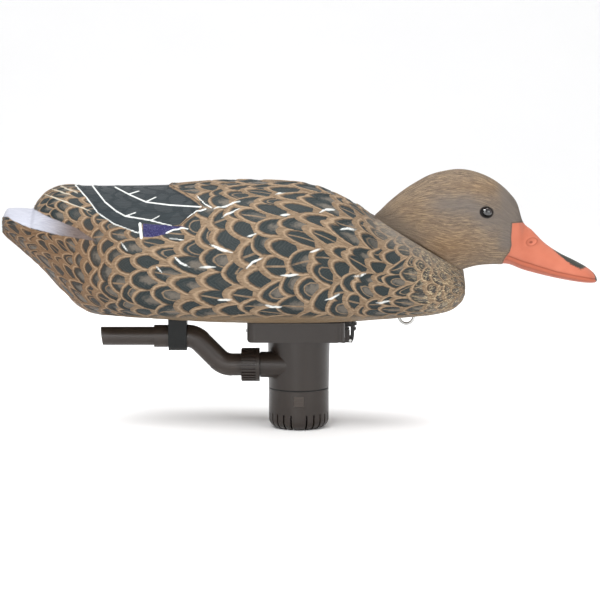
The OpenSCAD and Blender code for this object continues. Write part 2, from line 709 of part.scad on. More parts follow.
// Outline of the strainer wall: straight side, rounded foot, flat floor.
function strainer_outline(r, round, floor_z) =
    concat([[0, floor_z], [r - round, floor_z]],
        [for (a = [-80:10:0]) [r - round + round * cos(a), floor_z + round + round * sin(a)]],
        [[r, seam_z - 1], [0, seam_z - 1]]);
module strainer() color("saddlebrown") {
    translate([pump_x, 0, 0]) difference() {
        union() {
            rotate_extrude() polygon(strainer_outline(strainer_r, strainer_round, strainer_z));
            // Raised latch panels, front and back.
            intersection() {
                for (s = [-1, 1]) translate([-6, s > 0 ? 15 : -strainer_r - 0.5, -90])
                    cube([12, strainer_r - 14.5, seam_z - 1 + 90]);
                translate([0, 0, -90]) cylinder(r = strainer_r + 0.5, h = 30);
            }
        }
        translate([0, 0, strainer_z + 8]) cylinder(r = 20.6, h = 60);
        translate([0, 0, strainer_z + 1.8]) cylinder(r = 16, h = 60);
        for (k = [0:slot_count - 1])
            if (abs(sin(360 * k / slot_count)) < 0.99)
                rotate(360 * k / slot_count)
                    translate([12.5, -slot_w / 2, strainer_z - 1]) cube([14, slot_w, 12.7]);
        for (s = [-1, 1]) translate([-button_half - 0.15, s > 0 ? 15 : -35, button_z0 - 0.15])
            cube([2 * button_half + 0.3, 20, button_z1 - button_z0 + 0.3]);
    }
}
module strainer_seal() color("black") {
    translate([pump_x, 0, seam_z - 1]) tube(strainer_r - 0.2, 20.45, 1);
}
module release_button(side) color("saddlebrown") {
    translate([pump_x - button_half, side > 0 ? 19.2 : -22.9, button_z0]) {
        difference() {
            cube([2 * button_half, 3.7, button_z1 - button_z0]);
            for (k = [1:3]) translate([-1, side > 0 ? 3.4 : -0.7, 1.6 * k]) cube([20, 1, 0.6]);
        }
    }
}

// ---- Union, S-bend and nozzle ------------------------------------------------------------
module union_nut() color("saddlebrown") {
    difference() {
        union() {
            along_x(nut_x0, jet_y, port_z) cylinder(r = nut_r - 1, h = nut_x1 - nut_x0);
            along_x(nut_x1 - 3, jet_y, port_z) cylinder(r = nut_r, h = 3);
            for (k = [0:27]) along_x(nut_x0 + 0.4, jet_y, port_z) rotate(360 * k / 28)
                translate([nut_r - 1.6, -0.75, 0]) cube([1.5, 1.5, nut_x1 - nut_x0 - 2]);
        }
        along_x(nut_x0 - 1, jet_y, port_z) cylinder(r = pipe_r + 0.1, h = 10);
        along_x(nut_x0 + 2, jet_y, port_z) cylinder(r = 9.4, h = 20);
    }
}
module thrust_washer() color("ivory") {
    along_x(nut_x0 + 2.05, jet_y, port_z) tube(9.3, pipe_r + 0.1, 1);
}
module union_seal() color("black") {
    along_x(9.3, jet_y, port_z) tube(9, 7, 1.6);
}
// One eighth of a turn, starting at the given angle in the XZ plane.
module elbow(x, z, start, r) {
    translate([x, jet_y, z]) rotate([90, 0, 0]) rotate([0, 0, start])
        rotate_extrude(angle = 45) translate([bend_r, 0]) circle(r = r);
}
// Solid run of the S-bend: elbows of one radius joined by straights of another, whose
// inner ends reach a little into the elbows and whose outer ends are longer by extra.
module s_run(straight_r, elbow_r, extra) {
    setback = bend_r * tan(22.5);
    reach = 0.5;
    low = lower_corner_x + setback;
    high = upper_corner_x - setback;
    along_x(low - reach, jet_y, port_z) cylinder(r = straight_r, h = flange_x1 + extra - low + reach);
    elbow(low, port_z + bend_r, -135, elbow_r);
    translate([lower_corner_x - setback / sqrt(2), jet_y, port_z + setback / sqrt(2)])
        rotate([0, -45, 0]) translate([0, 0, -reach])
            cylinder(r = straight_r, h = (jet_z - port_z) * sqrt(2) - 2 * setback + 2 * reach);
    elbow(high, jet_z - bend_r, 45, elbow_r);
    along_x(pipe_end_x - extra, jet_y, jet_z) cylinder(r = straight_r, h = high - pipe_end_x + extra + reach);
}
module s_bend_pipe() color("saddlebrown") {
    difference() {
        union() {
            s_run(pipe_r, pipe_r + 0.15, 0);
            along_x(flange_x1 - 1.5, jet_y, port_z) cylinder(r = 9.2, h = 1.5);
        }
        s_run(nozzle_r + 0.05, nozzle_r - 0.1, 1);
    }
}
module nozzle_tube() color("saddlebrown") {
    difference() {
        along_x(nozzle_tip_x, jet_y, jet_z) tube(nozzle_r, nozzle_bore_r, nozzle_in_x - nozzle_tip_x);
        // Bevelled tip, which turns the jet aside as the tube is turned.
        translate([nozzle_tip_x + 0.8, jet_y, jet_z]) rotate([0, -7, 0])
            translate([-10, -10, -15]) cube([10, 20, 30]);
    }
}
module pipe_strap() color("black") {
    difference() {
        translate([strap_x - strap_w / 2, jet_y, 0]) rotate([90, 0, 90]) linear_extrude(strap_w) difference() {
            union() {
                translate([0, jet_z]) circle(r = pipe_r + 0.15 + strap_t);
                translate([-pipe_r - 0.15 - strap_t, jet_z])
                    square([2 * (pipe_r + 0.15 + strap_t), strap_top - jet_z]);
            }
            translate([0, jet_z]) circle(r = pipe_r + 0.15);
        }
        at_each(STRAP_SCREWS, strap_top - 4.8) cylinder(r = 1.45, h = 8);
    }
}
// The strap is held from inside the hull.
STRAP_SCREWS = [[strap_x - 3.8, jet_y], [strap_x + 3.8, jet_y]];
module strap_screws() color("silver") {
    at_each(STRAP_SCREWS, -9.7) mirror([0, 0, 1]) screw(2.8, 1.4, 1.4, 9.3);
}
module anchor_eye() color("silver") {
    translate([eye_x, 0, eye_z]) {
        rotate([90, 180, 0]) rotate_extrude(angle = 180) translate([eye_bend_r, 0]) circle(r = eye_wire_r);
        for (s = [-1, 1]) translate([s * eye_bend_r, 0, 0]) cylinder(r = eye_wire_r, h = 8.6);
    }
}
module anchor_nuts() color("silver") {
    for (s = [-1, 1]) translate([eye_x + s * eye_bend_r, 0, -10.6]) nut(2.8, eye_wire_r + 0.05, 2.4);
}

// ---- Head --------------------------------------------------------------------------------
module neck_place(down, lift) {
    translate([neck_top[0], 0, neck_top[1]]) rotate([0, neck_slope, 0])
        translate([down, 0, lift]) children();
}
module neck_screw_places(lift) {
    for (d = [-13, 13]) neck_place(36 + d, lift) children();
}
function head_half_width(x, z) =
    let (zw = curve(HEAD, 4, x), r = (z - zw) / (curve(HEAD, 1, x) - zw))
    curve(HEAD, 3, x) * sqrt(1 - r * r);
eye_place = [186.4, 66];
module eye_places() {
    side = head_half_width(eye_place[0], eye_place[1]) - 2.2;
    for (s = [-1, 1]) translate([eye_place[0], s * side, eye_place[1]])
        children();
}
module head_shell() color("rosybrown") {
    difference() {
        union() {
            difference() {
                loft(HEAD, HEAD_STEPS, 0);
                intersection() {
                    loft(HEAD, HEAD_STEPS, shell_wall);
                    above_neck(seam_gap + shell_wall);
                }
            }
            neck_screw_places(seam_gap) cylinder(r = 4.5, h = 9);
        }
        below_neck(seam_gap);
        eye_places() sphere(r = eye_r + 0.05);
        neck_screw_places(-1) cylinder(r = 1.3, h = 9);
        // Core hole between the two screws.
        neck_place(36, -1) cylinder(r = 6, h = 5);
    }
}
module eyes() color("black") {
    eye_places() sphere(r = eye_r);
}
module neck_screws() color("silver") {
    neck_screw_places(-neck_deck - 1.6) screw(3, 1.5, 1.25, 12);
}

hull_shell();
back_cover();
cover_seal();
battery_bay();
deck_screws();
deck_magnets();
cover_magnets();
battery();
battery_terminals();
terminal_boots();
battery_wires();
battery_strap();
control_case();
control_lid();
control_board();
switch_body();
switch_rocker();
case_screws();
pump_lead();
lead_gland();
hull_grommet();
base_plate();
plate_screws();
plate_nuts();
pump_bracket();
latch_lever();
latch_pin();
pump_housing();
pump_screws();
pump_gland();
motor_can();
motor_cap();
motor_magnets();
motor_bearings();
motor_shaft();
armature();
shaft_seal();
impeller();
intake_plate();
strainer();
strainer_seal();
release_button(-1);  // release_button_right
release_button(1);  // release_button_left
union_nut();
thrust_washer();
union_seal();
s_bend_pipe();
nozzle_tube();
pipe_strap();
strap_screws();
anchor_eye();
anchor_nuts();
head_shell();
eyes();
neck_screws();
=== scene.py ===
import math

import bmesh
import bpy
import numpy as np
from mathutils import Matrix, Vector


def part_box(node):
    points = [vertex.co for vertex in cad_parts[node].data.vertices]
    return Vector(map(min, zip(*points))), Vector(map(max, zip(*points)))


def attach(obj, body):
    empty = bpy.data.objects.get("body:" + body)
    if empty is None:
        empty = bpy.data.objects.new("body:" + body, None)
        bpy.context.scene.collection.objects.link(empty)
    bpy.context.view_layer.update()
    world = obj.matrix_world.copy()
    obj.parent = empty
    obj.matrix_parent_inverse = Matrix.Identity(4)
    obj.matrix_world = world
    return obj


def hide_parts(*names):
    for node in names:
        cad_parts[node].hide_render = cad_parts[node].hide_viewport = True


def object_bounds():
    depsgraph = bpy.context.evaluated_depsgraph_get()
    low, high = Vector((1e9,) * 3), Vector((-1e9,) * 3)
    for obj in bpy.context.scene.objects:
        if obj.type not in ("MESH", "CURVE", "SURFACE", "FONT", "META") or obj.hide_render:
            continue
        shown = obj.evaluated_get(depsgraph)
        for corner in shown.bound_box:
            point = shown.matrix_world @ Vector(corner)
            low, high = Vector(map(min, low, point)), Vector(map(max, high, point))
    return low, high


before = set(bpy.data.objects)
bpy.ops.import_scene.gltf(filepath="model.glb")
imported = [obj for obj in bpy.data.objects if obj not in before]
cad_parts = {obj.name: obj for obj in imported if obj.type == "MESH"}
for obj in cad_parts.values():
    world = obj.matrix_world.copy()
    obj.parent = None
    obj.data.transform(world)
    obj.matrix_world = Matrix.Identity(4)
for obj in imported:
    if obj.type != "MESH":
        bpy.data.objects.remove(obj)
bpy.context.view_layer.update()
MM = 0.001

# ---- Shape tables, the same stations as the CAD skins (mm) -------------------------------
# [x, crest z, keel z, half width, z of the widest point, roundness above, roundness below]
BODY = np.array([
    [-174, 60, 48, 5, 55, 1.7, 1.8], [-171, 66, 44.8, 14, 57, 1.6, 1.8],
    [-167, 66.9, 41.5, 20, 57.5, 1.6, 1.8], [-158, 66.9, 34, 28, 54.5, 1.6, 1.9],
    [-151, 67, 28.3, 33, 51, 1.7, 2.0], [-147, 72.8, 24.6, 36, 49, 1.9, 2.0],
    [-140.5, 79.4, 18.5, 40, 46, 2.0, 2.1], [-129, 83.8, 6, 47, 40, 2.1, 2.2],
    [-111, 83.6, -9, 57, 32, 2.1, 2.4], [-85, 83.6, -12, 67, 25, 2.1, 2.6],
    [-50, 84.2, -14, 75, 20, 2.1, 2.7], [-10, 87, -15.6, 79, 17, 2.1, 2.8],
    [30, 86.8, -16, 79.5, 16, 2.1, 2.8], [60, 83, -16, 77, 15, 2.1, 2.8],
    [90, 70, -15.4, 71, 14, 1.9, 2.7], [98, 64.7, -15.1, 68.5, 13.2, 1.8, 2.6],
    [105, 61, -14.8, 66, 12.5, 1.7, 2.55], [114, 60.5, -14.4, 62.3, 11.5, 1.55, 2.5],
    [130, 61, -13.4, 55, 10, 1.45, 2.4], [150, 48, -11.6, 42, 8, 1.5, 2.3],
    [163, 38, -8.5, 28, 6, 1.6, 2.2], [170, 27, -3, 13, 5, 1.8, 2.0],
    [172.3, 10, 2, 3, 5, 2.0, 2.0]])
HEAD = np.array([
    [104, 61, 51, 4, 56, 2, 2], [109, 65.5, 46, 12, 56, 2, 2], [115, 71.5, 40, 17, 56, 2, 2],
    [124, 79, 34, 22, 56, 2, 2], [133, 85, 28, 25, 55, 2, 2], [146, 92, 20, 27.5, 53, 2, 2],
    [160, 95.6, 16, 28.5, 51, 2, 2.1], [170, 96, 21, 28.5, 50, 2, 2.1],
    [180, 94, 24, 28, 50, 2, 2.1], [190, 90, 25, 26, 49, 2, 2.1], [198, 85, 25, 23, 47, 2, 2.1],
    [205, 78.5, 24.5, 20, 44, 2, 2.2], [211, 70, 22.5, 17.5, 40, 2, 2.2],
    [215, 57.5, 21, 16, 36, 1.9, 2.2], [223, 50.5, 18.3, 15, 31, 1.8, 2.2],
    [232, 41.5, 16, 15, 26, 1.8, 2.2], [243, 34, 13.6, 15.6, 21.5, 1.9, 2.2],
    [255, 28, 11.6, 17, 18, 2, 2.3], [264, 23, 10.6, 15.5, 15.5, 2, 2.3],
    [269.5, 18.5, 10.8, 10, 14, 2, 2.2], [272, 14.6, 12.4, 3, 13.5, 2, 2]])
BODY_BACK, BODY_FRONT = BODY[0, 0], BODY[-1, 0]
HEAD_BACK, HEAD_FRONT = HEAD[0, 0], HEAD[-1, 0]

# Flat seams between the shells: level under the cover, sloping under the neck. The gaps keep
# two detailed skins apart; a corner this near a seam's plane (ON_PLANE) counts as lying on it.
SEAM_Z = 69.0
COVER_GAP = 0.06
NECK_TOP = (104.5, 60.8)
NECK_TAN = math.tan(math.radians(31))
NECK_GAP = 0.06
ON_PLANE = 0.05

# Head features: places [x, z] and half sizes in mm, tilts in degrees.
EYE = (186.4, 66.0)
EYE_TILT = 12
EYE_OPENING = (5.0, 4.0)
EYEBALL = (4.75, 3.8)
EYE_BULGE = 3.7
NOSTRIL = (222.3, 41.6)
NOSTRIL_TILT = -18
NOSTRIL_SIZE = (4.3, 2.9)
BILL_NAIL_X = 268.2


def neck_z(x):
    """Height of the flat neck seam at x."""
    return NECK_TOP[1] - (x - NECK_TOP[0]) * NECK_TAN


def curve(table, col, x):
    """Cubic Hermite through the stations, as the CAD does it."""
    xs, vs = table[:, 0], table[:, col]
    n = len(xs)
    slope = np.array([(vs[min(i + 1, n - 1)] - vs[max(i - 1, 0)])
                      / (xs[min(i + 1, n - 1)] - xs[max(i - 1, 0)]) for i in range(n)])
    i = np.clip(np.searchsorted(xs, x, side="right") - 1, 0, n - 2)
    h = xs[i + 1] - xs[i]
    t = (x - xs[i]) / h
    p, q, m, k = vs[i], vs[i + 1], slope[i] * h, slope[i + 1] * h
    return ((2 * t**3 - 3 * t**2 + 1) * p + (t**3 - 2 * t**2 + t) * m
            + (3 * t**2 - 2 * t**3) * q + (t**3 - t**2) * k)


def section(table, x):
    """Crest, keel, half width, height of the widest point, and both roundnesses at x."""
    return [curve(table, column, np.array([x]))[0] for column in range(1, 7)]


def crest_at(table, x):
    return section(table, x)[0]


def keel_at(table, x):
    return section(table, x)[1]


def half_grid(table, xs, z_low, z_high, count):
    """Right half of a skin (y < 0) as a grid [x station, point from low to high], with the
    share of the way from crest (0) to keel (1) of each point."""
    out = np.zeros((len(xs), count, 3))
    share = np.zeros((len(xs), count))
    angles = np.linspace(-90, 90, 721)
    for i, x in enumerate(xs):
        crest, keel, half, zw, n_up, n_down = section(table, x)
        s, c = np.sin(np.radians(angles)), np.maximum(np.cos(np.radians(angles)), 0)
        e = np.where(s >= 0, 2 / n_up, 2 / n_down)
        z = zw + np.sign(s) * np.abs(s) ** e * np.where(s >= 0, crest - zw, zw - keel)
        y = half * c**e
        run = np.concatenate([[0], np.cumsum(np.hypot(np.diff(y), np.diff(z)))])
        lo = np.interp(max(z_low(x), z[0]), z, run) if z_low else 0.0
        hi = np.interp(min(z_high(x), z[-1]), z, run) if z_high else run[-1]
        pick = np.linspace(lo, hi, count)
        out[i, :, 0] = x
        out[i, :, 1] = -np.interp(pick, run, y)
        out[i, :, 2] = np.interp(pick, run, z)
        share[i] = 1 - pick / run[-1]
    return out, share


# ---- The side view, in mm on the duck's plane of symmetry ---------------------------------
VIEW_AT = np.array([48.5, 0.0, -2.4])
VIEW_RISE = math.radians(7.2)
VIEW_FAR = 1900.0
VIEW_WIDTH = 451.4
VIEW_FROM = VIEW_AT + VIEW_FAR * np.array([0, -math.cos(VIEW_RISE), math.sin(VIEW_RISE)])


def seen_from_side(p):
    """Where a point of either side shows on the plane of symmetry, seen from the right."""
    y = -np.abs(p[..., 1])
    t = VIEW_FROM[1] / (VIEW_FROM[1] - y)
    return (VIEW_FROM[0] + (p[..., 0] - VIEW_FROM[0]) * t,
            VIEW_FROM[2] + (p[..., 2] - VIEW_FROM[2]) * t)


FAR_OFF = 40.0


def from_lines(px, pz, lines, taper=0.0):
    """Distance to the nearest of some polylines, each [half width, points], less that half width."""
    best = np.full(px.shape, FAR_OFF)
    for half, pts in lines:
        total = sum(math.dist(a, b) for a, b in zip(pts, pts[1:]))
        run = 0.0
        for a, b in zip(pts, pts[1:]):
            dx, dz = b[0] - a[0], b[1] - a[1]
            length = math.hypot(dx, dz)
            t = np.clip(((px - a[0]) * dx + (pz - a[1]) * dz) / length**2, 0, 1)
            d = np.hypot(px - a[0] - t * dx, pz - a[1] - t * dz)
            along = (run + t * length) / total
            width = half * (1 - taper * np.abs(2 * along - 1) ** 2)
            best = np.minimum(best, d - width)
            run += length
    return best


def inside(px, pz, poly):
    """Signed distance to a polygon, positive inside."""
    ring = [*poly, poly[0]]
    d = from_lines(px, pz, [(0.0, ring)])
    within = np.zeros(px.shape, bool)
    for (ax, az), (bx, bz) in zip(ring, ring[1:]):
        crosses = (az > pz) != (bz > pz)
        at = ax + (pz - az) * (bx - ax) / np.where(abs(bz - az) < 1e-9, 1e-9, bz - az)
        within ^= crosses & (px < at)
    return np.where(within, d, -d)


def smooth(a, b, x):
    """0 at a, 1 at b, with a smooth step between."""
    t = np.clip((x - a) / (b - a), 0, 1)
    return t * t * (3 - 2 * t)


# Painted lines, each [half width, points]: quills and edges of the folded wing, cream edges of
# the rump feathers, and white strokes on the back and flank.
WING_LINES = [
    (0.52, [(-120, 84.5), (-111, 74.3), (-102.7, 63), (-90.7, 54.8), (-72.6, 48)]),
    (0.54, [(-107.5, 84.5), (-97.4, 71.3), (-89.1, 64.5), (-82.4, 60.8), (-64.3, 57.8),
            (-47.8, 53.3)]),
    (0.48, [(-90, 82.6), (-78.6, 76.6), (-66.6, 71.3), (-49.3, 69.1), (-25.2, 67.6)]),
    (0.36, [(-82.4, 60.8), (-74.1, 63.6)]), (0.36, [(-62.8, 57.6), (-56.8, 61)]),
    (0.36, [(-79.4, 77.3), (-71.8, 79.6)]), (0.36, [(-66.6, 71.6), (-59.1, 75.1)]),
    (1.1, [(-71.4, 55.1), (-70.3, 44.2)]),
    (0.6, [(-51.9, 48), (-46.3, 50.5), (-40, 51.3), (-35.4, 51)]),
    (0.5, [(-49.8, 44), (-43.3, 43.6), (-38.3, 42.4)]),
    (0.5, [(-28.2, 75.2), (-22.5, 69.6), (-17.7, 66.8)]), (0.5, [(-36.1, 58.7), (-29, 63.6), (-21.7, 66.1)]),
]
CREAM_LINES = [
    (0.5, [(-142.6, 77.3), (-126, 71), (-108, 64.5)]), (0.42, [(-137.3, 81.1), (-123, 76.6)]),
    (0.42, [(-131.3, 83.4), (-117.7, 78.1)]),
]
WHITE_STROKES = [
    (0.62, [(-16.2, 66), (-6, 68.3), (4.1, 71.7)]), (0.62, [(-10.2, 59.3), (-3, 63.6), (4.1, 66.1)]),
    (0.9, [(-19.9, 39.7), (-11, 35.6), (-1.9, 33)]), (0.8, [(-46.3, 30.7), (-41, 25.6), (-34.2, 22.4)]),
    (0.8, [(-27.5, 22.4), (-14.7, 22.4)]), (0.75, [(-13.9, -2.4), (-1.9, -1.7)]),
    (0.8, [(7.9, 20.9), (13, 26.3), (20.7, 29.2)]), (0.85, [(33.5, 16.4), (40, 15.9), (47.8, 17.2)]),
    (0.8, [(21.4, -5.4), (28, -7.2), (35, -6.9)]), (0.75, [(62.8, 63), (68, 65.6), (74.9, 65.3)]),
    (0.7, [(67.3, -2.4), (73, -0.6), (79.4, 2.9)]), (0.75, [(77.9, 50.7), (84, 51.6), (91, 50)]),
    (0.8, [(87.2, 15.4), (93, 15.5), (98, 17.7)]), (0.7, [(33.5, 61.5), (41, 61.7)]),
    (0.7, [(105.6, -4.6), (116.3, -3)]), (0.6, [(30, 76.5), (38, 78)]), (0.6, [(-85.5, 41), (-81, 34.5)]),
    (0.6, [(8, 45), (16, 47.5)]), (0.55, [(-60, 24), (-55, 18)]), (0.6, [(55, 33), (64, 36)]),
]
# Painted areas: the folded wing, its blue patch, the pale top of the tail, and the bill. The
# shoulder feathers end along SCAPULAR, and the two halves of the bill meet along GAPE.
PANEL = [(-120, 84), (-122, 100), (-48, 100), (-49.3, 82.6), (-34.2, 74.3), (-25.2, 67.6),
         (-36.5, 58.5), (-41.8, 54), (-47, 53.3), (-58.3, 54.4), (-69.2, 55.1), (-72.6, 48), (-90.7, 54.8),
         (-102.7, 63), (-111, 74.3)]
SPECULUM = [(-69.2, 55.1), (-58.3, 54.4), (-47, 53.3), (-35.7, 52.1), (-45.5, 50.6), (-50.8, 48),
            (-56.8, 45.7), (-62.1, 44.8), (-68.8, 44.8)]
TAIL_TOP = [(-190, 85), (-178, 60), (-170.5, 60.5), (-166.6, 57.5), (-155.6, 52.6), (-134, 47),
            (-117, 44), (-104, 42), (-119.6, 52.2), (-134.3, 58), (-142.6, 61.5), (-150.5, 66), (-151.5, 85)]
SCAPULAR = [(-50.5, 84), (-49.3, 82.6), (-34.2, 74.3), (-25.2, 67.6), (-36.5, 58.5), (-41.8, 54)]
BILL = [(207.7, 55.6), (207, 44.6), (207.4, 39), (206, 33.9), (202.5, 29.2), (200, 24), (200, 0),
        (290, 0), (290, 70), (217.5, 70), (216, 56.2)]
GAPE = np.array([(203.9, 30.8), (214.6, 26.9), (225.3, 23.2), (240.7, 18.5), (256.1, 15.4), (272, 13.6)])


# ---- Node expressions ---------------------------------------------------------------------
TREE = None


def put(socket, value):
    if isinstance(value, E):
        TREE.links.new(value.s, socket)
    else:
        socket.default_value = value


def math_node(op, *args):
    n = TREE.nodes.new("ShaderNodeMath")
    n.operation = op
    for i, a in enumerate(args):
        put(n.inputs[i], a)
    return E(n.outputs[0])


class E:
    """A value in the node tree being built."""
    def __init__(self, s):
        self.s = s

    def __add__(self, other):
        return math_node("ADD", self, other)

    def __sub__(self, other):
        return math_node("SUBTRACT", self, other)

    def __mul__(self, other):
        return math_node("MULTIPLY", self, other)

    def __radd__(self, other):
        return math_node("ADD", other, self)

    def __rsub__(self, other):
        return math_node("SUBTRACT", other, self)

    def __rmul__(self, other):
        return math_node("MULTIPLY", other, self)


def either(op, fn):
    """An operation that works on node values and on arrays alike."""
    return lambda *a: math_node(op, *a) if any(isinstance(v, E) for v in a) else fn(*a)


floor_of = either("FLOOR", np.floor)
round_of = either("ROUND", np.round)
size_of = either("ABSOLUTE", np.abs)
power_of = either("POWER", np.power)
sine = either("SINE", np.sin)
wrap = either("FLOORED_MODULO", np.mod)
most = either("MAXIMUM", np.maximum)
less = either("LESS_THAN", lambda a, b: np.less(a, b) * 1.0)


# ---- Feather lattice ----------------------------------------------------------------------
ROW_X = [-176, -150, -110, -60, 0, 60, 100, 135, 172]
ROW_LENGTH = [6.4, 6.6, 8, 11.5, 14.5, 14, 10.5, 7, 5.4]


def row_length(x):
    """Spacing of the feather rows along the duck, in mm."""
    return np.interp(x, ROW_X, ROW_LENGTH)


LATTICE_X = np.linspace(-178, 176, 1500)
LATTICE_P = np.cumsum(1 / row_length(LATTICE_X)) * (LATTICE_X[1] - LATTICE_X[0])
COLUMNS = 12.5


def lattice(x, share):
    """Feather rows count towards the tail, columns from crest to keel."""
    p = LATTICE_P[-1] - np.interp(x, LATTICE_X, LATTICE_P)
    q = COLUMNS * share
    bend = 0.42 * np.sin(0.8 * q + 0.5 * p) + 0.3 * np.sin(0.37 * p - 0.9 * q + 1.3)
    return p + bend, q + 0.22 * np.sin(0.6 * p + 1.0 * q)


def feather(p, q):
    """The feather on top at a lattice point: outline level (1 at the edge), side, way along, row
    and column. Works on arrays for the relief and on node values for the paint."""
    def one(row, col):
        j1 = sine(row * 5.13 + col * 7.71)
        j2 = sine(row * 3.97 - col * 6.33 + 1.9)
        j3 = sine(row * 4.61 + col * 2.93 + 0.4)
        t = p - row - 0.15 * j2
        s = (q - col - 0.12 * j1 - 0.16 * j3 * t) * (1.72 + 0.22 * j2)
        t = t * (0.615 + 0.07 * j1)
        tt = most((t - 0.22) * 1.282, 0.0)
        level = power_of(power_of(size_of(s), 1.8) + power_of(tt, 1.8), 0.5556)
        return level, s, t, row, col

    def choose(first, a, b):
        return tuple(v + (u - v) * first for u, v in zip(a, b))

    def row_of(back):
        row = floor_of(p) - back
        off = 0.5 * wrap(row, 2.0)
        near = round_of(q - off) + off
        beside = near + 1.0 - 2.0 * less(q, near)
        a, b = one(row, near), one(row, beside)
        return choose(less(a[0], b[0]), a, b)

    front, rear = row_of(1.0), row_of(0.0)
    return choose(less(front[0], 1.0), front, rear)


# ---- Mesh building ------------------------------------------------------------------------
MERGE = 2e-5
CAP_REACH = 0.0013


def surface_normals(g):
    """Unit normals of a grid, pointing out of the duck."""
    du = np.gradient(g, axis=0)
    dv = np.gradient(g, axis=1)
    n = np.cross(dv, du)
    n /= np.maximum(np.linalg.norm(n, axis=2, keepdims=True), 1e-9)
    # On the right half the outside lies towards -Y.
    flip = np.sign((n[..., 1:2] * -1).sum())
    return n * (flip if flip else 1)


def skin_piece(name, half, fields, caps=()):
    """A skin of both sides from the grid of its right half, with the fields as attributes; an
    open end at an x in caps is closed."""
    verts, faces, base = [], [], 0
    for g, reverse in both_sides(half):
        nu, nv = g.shape[:2]
        verts.append(g.reshape(-1, 3) * MM)
        idx = base + np.arange(nu * nv).reshape(nu, nv)
        a, b, c, d = idx[:-1, :-1], idx[1:, :-1], idx[1:, 1:], idx[:-1, 1:]
        quad = np.stack([a, b, c, d] if reverse else [a, d, c, b], axis=-1).reshape(-1, 4)
        faces.append(quad)
        base += nu * nv
    me = bpy.data.meshes.new(name)
    v = np.concatenate(verts)
    f = np.concatenate(faces)
    me.from_pydata(v.tolist(), [], f.tolist())
    for key, values in fields.items():
        data = np.concatenate([values.reshape(-1, 3)] * 2).astype(np.float32)
        me.attributes.new(key, "FLOAT_VECTOR", "POINT").data.foreach_set("vector", data.ravel())
    bm = bmesh.new()
    bm.from_mesh(me)
    bmesh.ops.remove_doubles(bm, verts=bm.verts, dist=MERGE)
    bmesh.ops.dissolve_degenerate(bm, edges=bm.edges, dist=1e-6)
    for x in caps:
        ring = [e for e in bm.edges
                if e.is_boundary and all(abs(w.co.x - x * MM) < CAP_REACH for w in e.verts)]
        if ring:
            bmesh.ops.holes_fill(bm, edges=ring, sides=0)
    for face in bm.faces:
        face.smooth = True
    bm.to_mesh(me)
    bm.free()
    ob = bpy.data.objects.new(name, me)
    bpy.context.collection.objects.link(ob)
    return ob


def both_sides(g):
    """The right half's grid and its mirror, which runs the other way round."""
    left = g.copy()
    left[..., 1] *= -1
    return [(g, False), (left, True)]


def spread(count, x0, x1):
    """Stations along x, closer together near both ends."""
    t = np.linspace(0, 1, count)
    eased = (1 - np.cos(np.pi * t)) / 2
    return x0 + (x1 - x0) * (t + eased) / 2


# Heights of the carving, in mm: feather rims by x, wing quills, the edge of the shoulder
# feathers, the white strokes, and the whole skin above the CAD one.
RIM_X = [-174, -120, -40, 60, 120, 172]
RIM_RISE = [0.4, 0.6, 1.15, 1.15, 0.75, 0.4]
QUILL_RISE = 0.3
SHOULDER_RISE = 0.5
STROKE_RISE = 0.25
SKIN_RISE = 0.04
TAIL_LOW_Z = 38


def plumage_fields(g, share):
    """Lattice, painted lines, regions and relief of a grid of the body."""
    px, pz = seen_from_side(g)
    p, q = lattice(g[..., 0], share)
    edge = feather(p, q)[0]
    panel = inside(px, pz, PANEL)
    speculum = inside(px, pz, SPECULUM)
    tail = np.where(g[..., 2] > TAIL_LOW_Z, inside(px, pz, TAIL_TOP), -20)
    scapular = from_lines(px, pz, [(0.0, SCAPULAR)])
    wing_line = from_lines(px, pz, WING_LINES)
    stroke = from_lines(px, pz, WHITE_STROKES, taper=0.8)
    cream = from_lines(px, pz, CREAM_LINES, taper=0.4)
    bare = np.maximum(smooth(-12.5, -17, pz), smooth(0.83, 0.88, share))
    seam = pz - neck_z(px)
    neck = smooth(-20, -3, seam) * smooth(92, 108, px) * (1 - 0.6 * smooth(150, 168, px))
    breast = smooth(122, 156, px)
    rear = smooth(-62, -128, px) * smooth(62, 50, pz)
    # Painted shadow over the tail top where it runs under the rump, growing towards the front.
    painted_rump_shadow = smooth(-153, -118, px)
    soft = np.maximum(smooth(-0.5, 0.8, panel), smooth(-0.5, 0.8, tail))
    rim = smooth(0.56, 0.78, edge) - 0.55 * smooth(0.88, 1.0, edge) + 0.3 * smooth(0.55, 0.0, edge)
    rise = np.interp(g[..., 0], RIM_X, RIM_RISE)
    relief = rise * rim * (1 - soft) * (1 - 0.85 * bare) * (1 - 0.8 * neck)
    # The folded wing lies a little below the shoulder feathers; its quills stand up.
    relief += QUILL_RISE * smooth(1.0, -0.4, wing_line) + SKIN_RISE
    relief += SHOULDER_RISE * smooth(2.4, 0.6, scapular) * smooth(0.2, -0.4, panel)
    relief += STROKE_RISE * smooth(0.8, -0.3, stroke)
    fields = {
        "lat": np.stack([p, q, painted_rump_shadow], -1),
        "lines": np.clip(np.stack([wing_line, stroke, cream], -1), -5, 15),
        "areas": np.clip(np.stack([panel, speculum, tail], -1), -15, 15),
        "tones": np.stack([bare, neck, breast], -1),
        "more": np.stack([rear, np.clip(scapular, 0, 15), np.zeros_like(rear)], -1),
    }
    return fields, relief


def raised(g, relief):
    """A grid moved out along its normals by the relief."""
    return g + surface_normals(g) * relief[..., None]


def skin_level(table, p):
    """1 on the outer skin, less inside it."""
    crest, keel, half, zw, n_up, n_down = section(table, np.clip(p.x, table[0, 0], table[-1, 0]))
    n, reach = (n_up, crest - zw) if p.z >= zw else (n_down, zw - keel)
    return (abs(p.y) / half) ** n + (abs(p.z - zw) / reach) ** n


def on_plane(corners, planes):
    """Whether a face whose corners are in mm lies on one of the parting planes."""
    return any(all(abs(plane(v)) < ON_PLANE for v in corners) for plane in planes)


